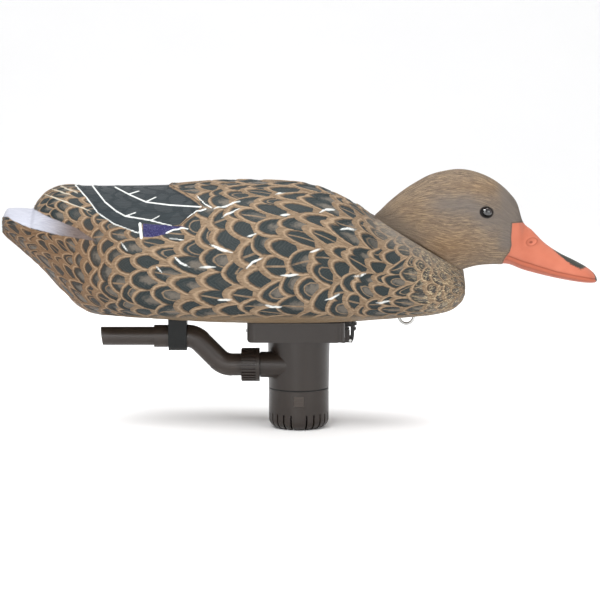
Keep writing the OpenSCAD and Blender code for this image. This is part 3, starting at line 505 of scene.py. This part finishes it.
# A face of a CAD shell at this level or more, and facing outwards, is on its outer skin. Where
# the skin is steep its facets are coarse, and they lie deeper.
SKIN_LEVEL = 0.9
STEEP_LEVEL = 0.5


def inner_faces(node, table, planes, steep):
    """A copy of a CAD shell's mesh without its outer skin, which a detailed piece replaces; steep
    is the range of x where the skin's facets are coarse."""
    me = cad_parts[node].data.copy()
    bm = bmesh.new()
    bm.from_mesh(me)
    doomed = []
    for f in bm.faces:
        if on_plane([v.co / MM for v in f.verts], planes):
            continue
        c = f.calc_center_median() / MM
        near_end = c.x < table[0, 0] + 1 or c.x > table[-1, 0] - 1
        level = skin_level(table, c)
        low = STEEP_LEVEL if steep[0] < c.x < steep[1] else SKIN_LEVEL
        if near_end or (level > low and skin_level(table, c + f.normal * 0.4) > level):
            doomed.append(f)
    bmesh.ops.delete(bm, geom=doomed, context="FACES")
    loose = [v for v in bm.verts if not v.link_faces]
    bmesh.ops.delete(bm, geom=loose, context="VERTS")
    bm.to_mesh(me)
    bm.free()
    return me


def join_inner(ob, me, planes):
    """Adds the inner faces to a detailed skin; those on a parting plane are painted."""
    inner = bpy.data.objects.new(ob.name + "_in", me)
    bpy.context.collection.objects.link(inner)
    me.materials.clear()
    me.materials.append(LINER)
    me.materials.append(LAND)
    for poly in me.polygons:
        poly.use_smooth = False
        corners = [me.vertices[i].co / MM for i in poly.vertices]
        poly.material_index = int(on_plane(corners, planes))
    for o in bpy.context.selected_objects:
        o.select_set(False)
    inner.select_set(True)
    ob.select_set(True)
    bpy.context.view_layer.objects.active = ob
    bpy.ops.object.join()
    ob.select_set(False)


# ---- Material building blocks --------------------------------------------------------------
def step_smooth(a, b, x):
    """0 below a, 1 above b; with a > b it falls instead."""
    n = TREE.nodes.new("ShaderNodeMapRange")
    n.interpolation_type = "SMOOTHSTEP"
    if a > b:
        a, b, lo, hi = b, a, 1.0, 0.0
    else:
        lo, hi = 0.0, 1.0
    put(n.inputs[0], x)
    n.inputs[1].default_value, n.inputs[2].default_value = a, b
    n.inputs[3].default_value, n.inputs[4].default_value = lo, hi
    return E(n.outputs[0])


def attribute(name):
    """The three values of a mesh attribute."""
    n = TREE.nodes.new("ShaderNodeAttribute")
    n.attribute_name = name
    s = TREE.nodes.new("ShaderNodeSeparateXYZ")
    TREE.links.new(n.outputs["Vector"], s.inputs[0])
    return [E(o) for o in s.outputs]


def combine(x, y, z):
    n = TREE.nodes.new("ShaderNodeCombineXYZ")
    for i, a in enumerate((x, y, z)):
        put(n.inputs[i], a)
    return E(n.outputs[0])


def position():
    """Object coordinates in mm."""
    n = TREE.nodes.new("ShaderNodeTexCoord")
    m = TREE.nodes.new("ShaderNodeVectorMath")
    m.operation = "SCALE"
    m.inputs["Scale"].default_value = 1000.0
    TREE.links.new(n.outputs["Object"], m.inputs[0])
    return E(m.outputs[0])


def noise(vec, scale, detail=2.0, rough=0.5, distort=0.0):
    n = TREE.nodes.new("ShaderNodeTexNoise")
    put(n.inputs["Vector"], vec)
    n.inputs["Scale"].default_value = scale
    n.inputs["Detail"].default_value = detail
    n.inputs["Roughness"].default_value = rough
    n.inputs["Distortion"].default_value = distort
    return E(n.outputs["Fac"])


def random_of(x, y, z=0.0):
    n = TREE.nodes.new("ShaderNodeTexWhiteNoise")
    n.noise_dimensions = "3D"
    put(n.inputs["Vector"], combine(x, y, z))
    return E(n.outputs["Value"])


def blend(fac, a, b):
    n = TREE.nodes.new("ShaderNodeMix")
    n.data_type = "RGBA"
    put(n.inputs[0], fac)
    for i, c in ((6, a), (7, b)):
        put(n.inputs[i], (*c, 1.0) if isinstance(c, tuple) else c)
    return E(n.outputs[2])


def linear(r, g, b):
    """Linear colour from 0 to 255 display values."""
    shown = [v / 255 for v in (r, g, b)]
    return tuple(v / 12.92 if v <= 0.04045 else ((v + 0.055) / 1.055) ** 2.4 for v in shown)


STUDIO_LIGHT = 1.45


def rgb(r, g, b):
    """The paint that looks like these display values under the studio light."""
    return tuple(v / STUDIO_LIGHT for v in linear(r, g, b))


def new_material(name):
    global TREE
    m = bpy.data.materials.new(name)
    m.use_nodes = True
    TREE = m.node_tree
    return m, TREE.nodes["Principled BSDF"]


def bump(height, distance, bsdf, strength=1.0):
    n = TREE.nodes.new("ShaderNodeBump")
    n.inputs["Strength"].default_value = strength
    n.inputs["Distance"].default_value = distance
    TREE.links.new(height.s, n.inputs["Height"])
    TREE.links.new(n.outputs[0], bsdf.inputs["Normal"])


def connect(bsdf, color, rough, specular):
    TREE.links.new(color.s, bsdf.inputs["Base Color"])
    TREE.links.new(rough.s, bsdf.inputs["Roughness"])
    bsdf.inputs["Specular IOR Level"].default_value = specular


# ---- Plumage ------------------------------------------------------------------------------
def plumage_material():
    m, bsdf = new_material("painted_plumage")
    pos = position()
    # Lattice rows and columns, and the painted shadow of the rump over the tail top.
    p, q, painted_rump_shadow = attribute("lat")
    hatch = noise(combine(p * 3.2 + q * 0.8, q * 11.0 - p * 1.5, 2.0), 1.4, 3.0, 0.65)
    wing_line, stroke, cream = attribute("lines")
    panel, speculum, tail = attribute("areas")
    bare, neck, breast = attribute("tones")
    rear, scapular, _ = attribute("more")
    edge, side, along, row, col = feather(p, q)
    chance = random_of(row, col, 1.0)
    chance_b = random_of(row, col, 7.0)
    wobble = noise(pos, 0.35, 3.0) - 0.5
    grain = noise(pos, 1.3, 4.0, 0.6)
    mottle = noise(pos, 0.05, 3.0)
    streaks = noise(combine(p * 1.2, q * 9.0, 0.0), 1.6, 3.0, 0.6)
    edge = edge + 0.14 * wobble
    barbs = sine((size_of(side) * 4.2 + along * 8.0 + 1.2 * wobble) * 6.2832)

    # Tan edges, worn lighter in places and browner towards the tail.
    tan = blend(mottle, rgb(126, 106, 84), rgb(164, 140, 114))
    tan = blend(step_smooth(0.46, 0.66, streaks) * 0.75, tan, rgb(112, 88, 66))
    tan = blend(step_smooth(0.52, 0.66, hatch) * 0.55, tan, rgb(92, 76, 62))
    tan = blend(rear * 0.75, tan, blend(streaks, rgb(142, 107, 76), rgb(92, 69, 49)))
    slate = blend(grain, rgb(24, 32, 34), rgb(50, 59, 60))
    slate = blend(step_smooth(0.1, 1.0, barbs) * 0.16, slate, rgb(92, 96, 92))
    slate = blend(rear * 0.6, slate, rgb(66, 56, 48))
    slate = blend(breast * 0.6, slate, rgb(90, 80, 74))
    dusty = blend(grain, rgb(92, 86, 78), rgb(134, 124, 112))

    # Dark pad of each feather; some are dusty at heart, some split by a pale shaft.
    limit = 0.69 + 0.24 * (chance - 0.5) - 0.12 * rear - 0.08 * breast
    pad = step_smooth(0.03, -0.03, edge - limit)
    heart = step_smooth(0.50, 0.14, edge + 0.5 * wobble) * step_smooth(0.40, 0.55, chance)
    shaft = step_smooth(0.09, 0.04, size_of(side)) * step_smooth(0.62, 0.68, chance_b)
    shaft = shaft * step_smooth(0.92, 0.6, along)
    ring = step_smooth(0.06, 0.02, size_of(edge - 0.43)) * step_smooth(0.26, 0.22, chance_b)
    inner = blend(heart * 0.8, slate, dusty)
    inner = blend(most(shaft, ring) * 0.85, inner, tan)
    color = blend(pad, tan, inner)
    # A dark line round each pad is painted shade at the foot of its raised rim, and the pale line a little
    # outside it is a painted highlight along the rim's top.
    color = blend(step_smooth(0.07, 0.01, size_of(edge - limit - 0.02)) * 0.55, color, rgb(52, 44, 38))
    color = blend(step_smooth(0.08, 0.0, size_of(edge - limit - 0.14)) * 0.35, color, rgb(206, 178, 146))

    # Bare tan along the bottom, grey-mauve round the neck, pale strokes on the breast.
    plain = blend(streaks, rgb(114, 95, 73), rgb(150, 127, 98))
    color = blend(bare * 0.92, color, plain)
    mauve = blend(streaks, rgb(100, 92, 86), rgb(140, 130, 120))
    color = blend(neck * 0.72, color, mauve)
    hair = noise(combine(p * 0.9 + q * 0.5, q * 5.0, 3.0), 2.4, 3.0, 0.7, 0.6)
    color = blend(most(breast, 0.35 * neck) * step_smooth(0.53, 0.60, hair) * 0.9, color, rgb(214, 194, 156))

    # Folded wing, with the brown edge of the shoulder feathers over it.
    vane = noise(combine(p * 0.8, q * 8.0, 5.0), 1.5, 3.0)
    in_panel = step_smooth(-0.35, 0.35, panel)
    color = blend(in_panel, color, blend(vane, rgb(28, 34, 38), rgb(52, 61, 65)))
    off_wing = step_smooth(0.3, -0.3, panel)
    color = blend(step_smooth(2.1, 1.5, scapular) * off_wing * 0.7, color, rgb(150, 124, 98))
    rim_line = step_smooth(0.5, 0.1, size_of(scapular - 1.1))
    color = blend(rim_line * off_wing * 0.8, color, rgb(62, 50, 42))
    spots = step_smooth(0.58, 0.66, noise(pos, 1.1, 2.0, 0.6))
    blue = blend(spots, blend(grain, rgb(34, 30, 78), rgb(56, 54, 104)), rgb(96, 98, 140))
    color = blend(step_smooth(-0.4, 0.3, speculum), color, blue)

    # Tail top: pale lilac at the tip, streaked lengthwise, with painted shadow in brown where it runs under
    # the rump.
    rays = noise(combine(p * 0.5, q * 7.0, 9.0), 1.8, 3.0, 0.6)
    lilac = blend(rays, rgb(164, 166, 182), rgb(226, 228, 238))
    rump_shadow_brown = blend(rays, rgb(74, 63, 61), rgb(130, 115, 109))
    lilac = blend(painted_rump_shadow, lilac, rump_shadow_brown)
    color = blend(step_smooth(-0.6, 0.6, tail + 0.8 * wobble), color, lilac)

    paint = blend(grain, rgb(222, 226, 224), rgb(250, 252, 248))
    color = blend(step_smooth(0.25, -0.25, cream) * 0.9, color, rgb(214, 204, 184))
    color = blend(step_smooth(0.22, -0.22, wing_line + 0.2 * wobble), color, paint)
    color = blend(step_smooth(0.45, -0.35, stroke + 0.6 * wobble) * 0.95, color, paint)
    connect(bsdf, color, 0.58 + 0.16 * grain - 0.16 * pad, 0.18)

    flat = most(in_panel, step_smooth(-0.5, 0.5, tail))
    rough_area = (1.0 - flat) * (1.0 - bare * 0.85) * (1.0 - 0.75 * neck)
    ridges = step_smooth(0.58, 0.78, edge) - 0.5 * step_smooth(0.90, 1.0, edge)
    relief = ridges * rough_area + 0.04 * barbs * (1.0 - flat) + 0.25 * streaks
    relief = relief + 0.3 * hatch * (1.0 - pad) + 0.12 * grain + 0.35 * flat * vane
    bump(relief, 0.0009, bsdf, 0.9)
    return m


def head_material():
    m, bsdf = new_material("painted_head")
    pos = position()
    flow, across, _ = attribute("fur")
    bill, gape, culmen = attribute("marks")
    ochre, stripe, base = attribute("tones")
    nail, nostril, lid = attribute("more")
    hair = noise(combine(flow * 0.14, across * 1.7, 0.0), 1.0, 4.0, 0.7, 1.0)
    hair_b = noise(combine(flow * 0.11, across * 1.3, 4.0), 1.0, 2.0, 0.6, 0.7)
    mottle = noise(pos, 0.05, 3.0)
    grain = noise(pos, 1.4, 4.0, 0.6)
    brown = blend(mottle, rgb(146, 126, 108), rgb(180, 158, 134))
    between = blend(grain, rgb(98, 86, 76), rgb(116, 102, 90))
    brown = blend(step_smooth(0.44, 0.58, hair) * 0.85, between, brown)
    brown = blend(step_smooth(0.52, 0.62, hair_b) * (0.5 + 0.4 * ochre), brown, rgb(214, 186, 146))
    brown = blend(ochre * 0.55, brown, rgb(140, 108, 74))
    grey = blend(hair, rgb(104, 98, 94), rgb(146, 136, 128))
    brown = blend(stripe * 0.8, brown, grey)
    brown = blend(base * 0.7, brown, blend(hair, rgb(96, 86, 78), rgb(140, 128, 114)))
    orange = blend(noise(pos, 0.09, 3.0), rgb(192, 106, 80), rgb(214, 128, 102))
    orange = blend(step_smooth(0.2, -0.8, gape), orange, rgb(190, 104, 78))
    groove = most(step_smooth(0.9, 0.1, size_of(gape)), 0.6 * step_smooth(0.7, 0.1, size_of(gape + 2.9)))
    orange = blend(groove * 0.8, orange, rgb(150, 72, 50))
    orange = blend(step_smooth(0.55, 0.15, size_of(nostril)) * 0.5, orange, rgb(150, 74, 52))
    ragged = 5.0 * (noise(combine(flow * 2.2, across * 0.12, 2.0), 1.1, 3.0, 0.75) - 0.5)
    black = blend(grain, rgb(36, 38, 34), rgb(66, 66, 58))
    orange = blend(step_smooth(0.5, -0.5, culmen + ragged), orange, black)
    orange = blend(step_smooth(0.4, -0.4, nail), orange, black)
    orange = blend(step_smooth(-1.8, -2.2, nostril) * 0.7, orange, rgb(120, 56, 42))
    color = blend(step_smooth(-0.35, 0.35, bill), brown, orange)
    # A dark line just outside the bill: painted shade where the face feathers stand over the bill's base.
    color = blend(step_smooth(0.9, 0.1, size_of(bill + 0.5)) * 0.5, color, rgb(92, 68, 54))
    color = blend(step_smooth(0.8, -0.2, lid), color, rgb(46, 44, 44))
    connect(bsdf, color, 0.70 - 0.22 * step_smooth(-0.3, 0.4, bill) + 0.1 * grain, 0.2)
    fur = step_smooth(0.2, -0.8, bill)
    bump((hair + hair_b * 0.4) * fur + 0.12 * grain, 0.0012, bsdf, 0.8)
    return m


def moulded(name, dark, light, rough=0.5, grain_size=2.2, depth=0.00012, spec=0.4):
    """Moulded plastic: fine texture, faint flow marks, dulled patches."""
    m, bsdf = new_material(name)
    pos = position()
    fine = noise(pos, grain_size, 4.0, 0.65)
    cloud = noise(pos, 0.05, 4.0, 0.55, 0.6)
    scuff = step_smooth(0.60, 0.74, noise(pos, 0.32, 5.0, 0.7, 0.4))
    color = blend(cloud, rgb(*dark), rgb(*light))
    color = blend(fine * 0.25, color, rgb(*[min(255, int(v * 1.25) + 8) for v in light]))
    color = blend(scuff * 0.18, color, rgb(*[min(255, v + 26) for v in light]))
    connect(bsdf, color, rough - 0.08 + 0.16 * cloud + 0.10 * fine, spec)
    bump(fine + 0.5 * cloud, depth, bsdf, 0.6)
    return m


def metal(name, color_a, color_b, rough, stretch=(0.2, 3.0, 3.0)):
    """Metal with drawn lines, closer together along an axis the more it's stretched, and stains."""
    m, bsdf = new_material(name)
    pos = position()
    scaled = TREE.nodes.new("ShaderNodeVectorMath")
    scaled.operation = "MULTIPLY"
    TREE.links.new(pos.s, scaled.inputs[0])
    scaled.inputs[1].default_value = stretch
    lines = noise(E(scaled.outputs[0]), 1.2, 4.0, 0.6)
    stain = noise(pos, 0.25, 4.0, 0.6)
    TREE.links.new(blend(stain, linear(*color_a), linear(*color_b)).s, bsdf.inputs["Base Color"])
    TREE.links.new((rough - 0.1 + 0.2 * lines).s, bsdf.inputs["Roughness"])
    bsdf.inputs["Metallic"].default_value = 1.0
    bump(lines, 0.00005, bsdf, 0.5)
    return m


def rubber(name, dark, light, rough=0.72):
    """Dull rubber or webbing with a fine grain."""
    m, bsdf = new_material(name)
    pos = position()
    fine = noise(pos, 3.0, 4.0, 0.7)
    cloud = noise(pos, 0.12, 3.0)
    color = blend(0.6 * cloud + 0.4 * fine, rgb(*dark), rgb(*light))
    connect(bsdf, color, rough - 0.08 + 0.16 * fine, 0.3)
    bump(fine, 0.0001, bsdf, 0.5)
    return m


def eye_material():
    m, bsdf = new_material("glass_eye")
    centre = attribute("lens")[0]
    iris = noise(position(), 1.6, 4.0, 0.7)
    brown = blend(iris, rgb(26, 17, 11), rgb(46, 30, 18))
    color = blend(step_smooth(0.62, 0.80, centre), rgb(8, 8, 9), brown)
    color = blend(step_smooth(0.90, 0.98, centre), color, rgb(10, 10, 10))
    TREE.links.new(color.s, bsdf.inputs["Base Color"])
    TREE.links.new((0.10 + 0.05 * iris).s, bsdf.inputs["Roughness"])
    bsdf.inputs["Coat Weight"].default_value = 1.0
    bsdf.inputs["Coat Roughness"].default_value = 0.03
    return m


# ---- Body, cover and head -----------------------------------------------------------------
PLUMAGE = plumage_material()
HEAD_PAINT = head_material()
LINER = moulded("shell_inside", (34, 32, 30), (50, 47, 44), 0.6, 1.6)
LAND = moulded("painted_land", (100, 90, 82), (134, 122, 112), 0.6, 1.2, spec=0.18)


NECK_SEAM_X = 103


def top_of_hull(x):
    """Height of the seam that the hull ends at."""
    return min(SEAM_Z, neck_z(x)) if x > NECK_SEAM_X else SEAM_Z


def build_hull():
    xs = spread(380, BODY_BACK, BODY_FRONT)
    g, share = half_grid(BODY, xs, None, top_of_hull, 132)
    fields, relief = plumage_fields(g, share)
    g = raised(g, relief)
    closed = np.array([crest_at(BODY, x) <= top_of_hull(x) for x in xs])
    g[closed, -1, 1] = 0
    g[:, 0, 1] = 0
    ob = skin_piece("hull", g, fields, caps=(BODY_BACK, BODY_FRONT))
    ob.data.materials.append(PLUMAGE)
    planes = [lambda v: v.z - SEAM_Z, lambda v: v.z - neck_z(v.x)]
    join_inner(ob, inner_faces("hull_shell", BODY, planes, (162, 175)), planes)
    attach(ob, "decoy")
    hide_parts("hull_shell")


def crest_crosses(z, lo, hi):
    """The x between lo and hi where the crest of the body crosses the height z."""
    rising = crest_at(BODY, lo) < z
    for _ in range(40):
        mid = (lo + hi) / 2
        if (crest_at(BODY, mid) > z) == rising:
            hi = mid
        else:
            lo = mid
    return (lo + hi) / 2


def build_cover():
    edge_z = SEAM_Z + COVER_GAP
    back, front = crest_crosses(edge_z, -160, -130), crest_crosses(edge_z, 60, 100)
    xs = spread(270, back + 0.02, front - 0.02)
    g, share = half_grid(BODY, xs, lambda x: edge_z, None, 76)
    fields, relief = plumage_fields(g, share)
    g = raised(g, relief)
    g[:, -1, 1] = 0
    ob = skin_piece("cover", g, fields)
    ob.data.materials.append(PLUMAGE)
    planes = [lambda v: v.z - edge_z]
    join_inner(ob, inner_faces("back_cover", BODY, planes, (0, 0)), [])
    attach(ob, "cover")
    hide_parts("back_cover")


def whole_rows(g):
    """Rows of the head grid that close below instead of ending at the neck."""
    return g[:, :1, 2] > neck_z(g[:, :1, 0]) + NECK_GAP + 0.01


def spot(px, pz, x, z, width, height):
    """A soft round patch, 1 at its middle."""
    return np.exp(-(((px - x) / width) ** 2 + ((pz - z) / height) ** 2))


def turned(x, z, degrees):
    a = math.radians(degrees)
    return x * math.cos(a) - z * math.sin(a), x * math.sin(a) + z * math.cos(a)


def build_head():
    xs = spread(300, HEAD_BACK, HEAD_FRONT)
    g, share = half_grid(HEAD, xs, lambda x: neck_z(x) + NECK_GAP, None, 120)
    keep = np.array([crest_at(HEAD, x) > neck_z(x) + 0.6 for x in xs])
    g, share, xs = g[keep], share[keep], xs[keep]
    px, pz = seen_from_side(g)
    bill = inside(px, pz, BILL)
    gape = pz - np.interp(px, GAPE[:, 0], GAPE[:, 1])
    gape = np.where(bill > 0, gape, np.where(px > 203, gape, 20))
    depth_below = curve(HEAD, 1, g[..., 0]) - g[..., 2]
    culmen = depth_below - np.interp(g[..., 0], [233, 240, 251, 258, 266], [-2, 0.8, 3.8, 3.8, -2])
    culmen = np.where(bill > 0, culmen, 20)
    nail = BILL_NAIL_X - g[..., 0] + 0.03 * g[..., 1] ** 2
    nx, nz = turned(px - NOSTRIL[0], pz - NOSTRIL[1], NOSTRIL_TILT)
    ring = np.hypot(nx / NOSTRIL_SIZE[0], nz / NOSTRIL_SIZE[1])
    nostril = np.where(bill > 0, (ring - 1) * 3, 20)
    ex, ez = turned(g[..., 0] - EYE[0], g[..., 2] - EYE[1], EYE_TILT)
    eye_ring = np.hypot(ex / EYE_OPENING[0], ez / EYE_OPENING[1])
    lid = (eye_ring - 1) * 4
    # Colour regions: warm cheek and crown flecks, grey stripe through the eye, dark neck base.
    cheek = spot(px, pz, 158, 38, 26, 12)
    crown = spot(px, pz, 182, 82, 22, 7) + spot(px, pz, 135, 62, 18, 14) * 0.6
    ochre = np.clip(cheek + 0.7 * crown, 0, 1)
    stripe_z = np.interp(px, [120, 150, 175, 188, 207], [66, 70, 69, 60, 58])
    stripe_half = np.interp(px, [130, 160, 190, 207], [5, 8, 12, 16])
    stripe = np.exp(-((pz - stripe_z) / stripe_half) ** 2) * smooth(135, 160, px)
    stripe = np.maximum(stripe, smooth(192, 202, px) * smooth(30, 40, pz))
    base = smooth(20, 0, pz - neck_z(px)) * smooth(160, 120, px)
    # Relief: nostril rim, gape groove, bill let in under the face feathers, brow and lids.
    relief = 0.6 * np.exp(-((ring - 1) / 0.22) ** 2) * (bill > 0)
    relief -= 0.8 * np.exp(-(ring / 0.55) ** 2) * (bill > 0)
    relief -= 0.55 * np.exp(-(gape / 0.9) ** 2) * smooth(0.0, 2.0, bill)
    relief += 0.35 * np.exp(-((gape + 2.4) / 1.3) ** 2) * smooth(0.0, 2.0, bill)
    let_in = 0.5 - 0.46 * np.exp(-((px - 214.5) / 6) ** 2)
    relief -= let_in * smooth(-0.6, 0.5, bill)
    relief += 0.7 * np.exp(-((eye_ring - 1.12) / 0.16) ** 2) - 1.4 * smooth(1.05, 0.7, eye_ring)
    relief += spot(px, pz, 190, 72.5, 12, 3.0)
    relief -= 0.9 * spot(px, pz, 196, 60.5, 9, 3.5)
    relief += 1.2 * cheek
    # Fine hair: waves across the flow lines, which sink towards the back of the cheek.
    across = share * 150 + 0.30 * np.maximum(190 - g[..., 0], 0) * smooth(0.2, 0.75, share)
    flow = g[..., 0] + 25 * share
    rng = np.random.default_rng(7)
    strand = np.zeros(g.shape[:2])
    for _ in range(24):
        f, ph, w = rng.uniform(0.7, 2.6), rng.uniform(0, 6.28), rng.uniform(-0.06, 0.06)
        strand += np.sin(across * f + flow * w + ph + 1.2 * np.sin(flow * 0.05 + ph))
    relief += 0.035 * strand * smooth(0.5, -1.5, bill) * smooth(1.0, 1.5, eye_ring)
    edge = smooth(0, 2.5, g[..., 2] - neck_z(g[..., 0]) - NECK_GAP)
    relief = np.where(whole_rows(g), relief, edge * relief + (1 - edge) * 0.05)
    g = raised(g, relief)
    g[:, -1, 1] = 0
    whole = np.array([keel_at(HEAD, x) >= neck_z(x) + NECK_GAP for x in xs])
    g[whole, 0, 1] = 0
    fields = {
        "fur": np.stack([flow, across, share], -1),
        "marks": np.stack([bill, np.clip(gape, -20, 20), culmen], -1),
        "tones": np.stack([ochre, stripe, base], -1),
        "more": np.stack([nail, nostril, lid], -1),
    }
    ob = skin_piece("head", g, fields, caps=(HEAD_FRONT,))
    ob.data.materials.append(HEAD_PAINT)
    planes = [lambda v: v.z - neck_z(v.x) - NECK_GAP]
    join_inner(ob, inner_faces("head_shell", HEAD, planes, (205, 225)), planes)
    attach(ob, "decoy")
    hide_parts("head_shell")


def build_eyes():
    lo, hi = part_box("eyes")
    verts, faces, lens = [], [], []
    rings, seg = 14, 40
    for side in (-1, 1):
        y_out = (hi[1] if side > 0 else -lo[1]) / MM
        y_rim = y_out - 4.85
        base = len(verts)
        for i in range(rings + 1):
            r = i / rings
            y = y_rim + EYE_BULGE * math.sqrt(1 - 0.92 * r * r)
            for k in range(seg):
                a = 2 * math.pi * k / seg
                x, z = turned(EYEBALL[0] * r * math.cos(a), EYEBALL[1] * r * math.sin(a), -EYE_TILT)
                verts.append(((EYE[0] + x) * MM, side * y * MM, (EYE[1] + z) * MM))
                lens.append((r, 0.0, 0.0))
        for i in range(rings):
            for k in range(seg):
                a, c = base + i * seg + k, base + i * seg + (k + 1) % seg
                quad = (a, c, c + seg, a + seg)
                faces.append(quad if side > 0 else quad[::-1])
    me = bpy.data.meshes.new("eyeballs")
    me.from_pydata(verts, [], faces)
    centre = me.attributes.new("lens", "FLOAT_VECTOR", "POINT")
    centre.data.foreach_set("vector", np.array(lens, np.float32).ravel())
    bm = bmesh.new()
    bm.from_mesh(me)
    bmesh.ops.remove_doubles(bm, verts=bm.verts, dist=1e-6)
    for f in bm.faces:
        f.smooth = True
    bm.to_mesh(me)
    bm.free()
    ob = bpy.data.objects.new("eyeballs", me)
    bpy.context.collection.objects.link(ob)
    ob.data.materials.append(eye_material())
    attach(ob, "decoy")
    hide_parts("eyes")


build_hull()
build_cover()
build_head()
build_eyes()

# ---- Finishes of the CAD nodes that stay --------------------------------------------------
BROWN = moulded("pump_brown", (36, 28, 23), (46, 37, 31), 0.26, spec=0.4)
BROWN_PIPE = moulded("pipe_brown", (46, 38, 33), (60, 51, 45), 0.28, 3.0)
BUTTON = moulded("button_brown", (56, 47, 41), (68, 58, 51), 0.3)
STRAP = moulded("strap_slate", (20, 22, 22), (32, 34, 34), 0.46, spec=0.2)
BLACK = moulded("black_nylon", (18, 18, 19), (34, 34, 35), 0.48)
GREY = moulded("case_grey", (58, 58, 56), (78, 78, 75), 0.5)
BAY = moulded("bay_black", (30, 30, 29), (46, 46, 44), 0.55)
CASE = moulded("battery_black", (20, 20, 22), (36, 36, 38), 0.42)
IVORY = moulded("washer_ivory", (196, 190, 172), (216, 210, 194), 0.5)
RED = moulded("rocker_red", (140, 22, 18), (176, 34, 26), 0.32)
RED_VINYL = moulded("red_vinyl", (130, 20, 18), (160, 32, 28), 0.5)
GREEN = moulded("board_green", (14, 66, 34), (24, 92, 48), 0.35)
STEEL = metal("stainless", (150, 150, 148), (196, 196, 194), 0.3)
NICKEL = metal("nickel", (176, 172, 164), (206, 203, 196), 0.24)
BRASS = metal("tinned_brass", (176, 150, 96), (204, 186, 140), 0.34)
BRONZE = metal("bronze", (138, 100, 60), (168, 126, 78), 0.42)
COPPER = metal("copper_winding", (140, 72, 44), (178, 96, 60), 0.38, (0.3, 0.3, 6.0))
FERRITE = moulded("ferrite_grey", (40, 40, 43), (58, 58, 61), 0.6)
RUBBER = rubber("black_rubber", (14, 14, 14), (30, 30, 30))
WEB = rubber("webbing_black", (16, 16, 17), (36, 36, 38), 0.85)
FINISH = {
    BROWN: ["pump_bracket", "base_plate", "pump_housing", "strainer", "union_nut"],
    BUTTON: ["release_button_right", "release_button_left"],
    BROWN_PIPE: ["s_bend_pipe", "nozzle_tube"],
    STRAP: ["pipe_strap"],
    BLACK: ["latch_lever", "lead_gland", "pump_gland", "motor_cap", "impeller", "intake_plate",
            "switch_body"],
    GREY: ["control_case", "control_lid"],
    BAY: ["battery_bay"],
    CASE: ["battery"],
    IVORY: ["thrust_washer"],
    RED: ["switch_rocker"],
    RED_VINYL: ["terminal_boots", "battery_wires"],
    GREEN: ["control_board"],
    STEEL: ["deck_screws", "case_screws", "plate_screws", "plate_nuts", "pump_screws", "strap_screws",
            "neck_screws", "anchor_nuts", "anchor_eye", "latch_pin", "motor_can", "motor_shaft"],
    NICKEL: ["deck_magnets", "cover_magnets"],
    BRASS: ["battery_terminals"],
    BRONZE: ["motor_bearings"],
    COPPER: ["armature"],
    FERRITE: ["motor_magnets"],
    RUBBER: ["cover_seal", "shaft_seal", "strainer_seal", "union_seal", "hull_grommet", "pump_lead"],
    WEB: ["battery_strap"],
}
for finish, names in FINISH.items():
    for name in names:
        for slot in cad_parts[name].material_slots:
            slot.material = finish


# ---- Floor, light and camera --------------------------------------------------------------
def floor_material():
    m, bsdf = new_material("studio_paper")
    pos = position()
    paper = blend(noise(pos, 0.004, 3.0), linear(246, 246, 247), linear(250, 250, 250))
    TREE.links.new(paper.s, bsdf.inputs["Base Color"])
    TREE.links.new((0.9 + 0.05 * noise(pos, 0.5, 2.0)).s, bsdf.inputs["Roughness"])
    return m


# The paper lies under the duck and curves up behind it.
PAPER_FRONT, PAPER_BEND, PAPER_RADIUS, PAPER_TOP, PAPER_HALF = -3.0, 1.6, 1.2, 5.0, 5.0
FLOOR_GAP = 0.0002


def build_backdrop():
    floor_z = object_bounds()[0][2] - FLOOR_GAP
    bend = [math.radians(a) for a in range(6, 91, 6)]
    rows = [(PAPER_FRONT, 0.0), (PAPER_BEND, 0.0)]
    rows += [(PAPER_BEND + PAPER_RADIUS * math.sin(a), PAPER_RADIUS * (1 - math.cos(a))) for a in bend]
    rows += [(PAPER_BEND + PAPER_RADIUS, PAPER_TOP)]
    me = bpy.data.meshes.new("backdrop")
    me.from_pydata([(x, y, floor_z + z) for y, z in rows for x in (-PAPER_HALF, PAPER_HALF)], [],
                   [(2 * i, 2 * i + 1, 2 * i + 3, 2 * i + 2) for i in range(len(rows) - 1)])
    for poly in me.polygons:
        poly.use_smooth = True
    backdrop = bpy.data.objects.new("backdrop", me)
    backdrop.data.materials.append(floor_material())
    bpy.context.collection.objects.link(backdrop)


build_backdrop()

world = bpy.data.worlds.new("studio")
world.use_nodes = True
world.node_tree.nodes["Background"].inputs["Color"].default_value = (1, 1, 1, 1)
world.node_tree.nodes["Background"].inputs["Strength"].default_value = 0.66
bpy.context.scene.world = world


def softbox(name, at, aim, size, power):
    """A rectangular area light that points at aim."""
    data = bpy.data.lights.new(name, "AREA")
    data.shape = "RECTANGLE"
    data.size, data.size_y, data.energy = size[0], size[1], power
    ob = bpy.data.objects.new(name, data)
    bpy.context.collection.objects.link(ob)
    ob.location = at
    ob.rotation_mode = "QUATERNION"
    ob.rotation_quaternion = (Vector(aim) - Vector(at)).to_track_quat("-Z", "Y")


softbox("key", (-0.5, -1.3, 1.5), (0.03, 0, 0.02), (1.0, 0.8), 34)
softbox("fill", (1.2, -1.4, 0.5), (0.05, 0, 0), (1.2, 1.0), 9)
softbox("top", (0.1, 0.3, 1.6), (0.05, 0, 0.02), (1.4, 0.8), 18)
softbox("front", (-0.35, -1.75, 0.22), (0.05, 0, -0.03), (0.28, 0.28), 6)

SENSOR = 36.0
cam_data = bpy.data.cameras.new("camera")
cam_data.sensor_width = SENSOR
cam_data.lens = SENSOR * VIEW_FAR / VIEW_WIDTH
cam_data.clip_start, cam_data.clip_end = 0.05, 30.0
cam = bpy.data.objects.new("camera", cam_data)
bpy.context.collection.objects.link(cam)
cam.location = Vector(VIEW_FROM) * MM
cam.rotation_mode = "QUATERNION"
cam.rotation_quaternion = (Vector(VIEW_AT) - Vector(VIEW_FROM)).to_track_quat("-Z", "Y")
bpy.context.scene.camera = cam
bpy.context.scene.view_settings.view_transform = "Standard"
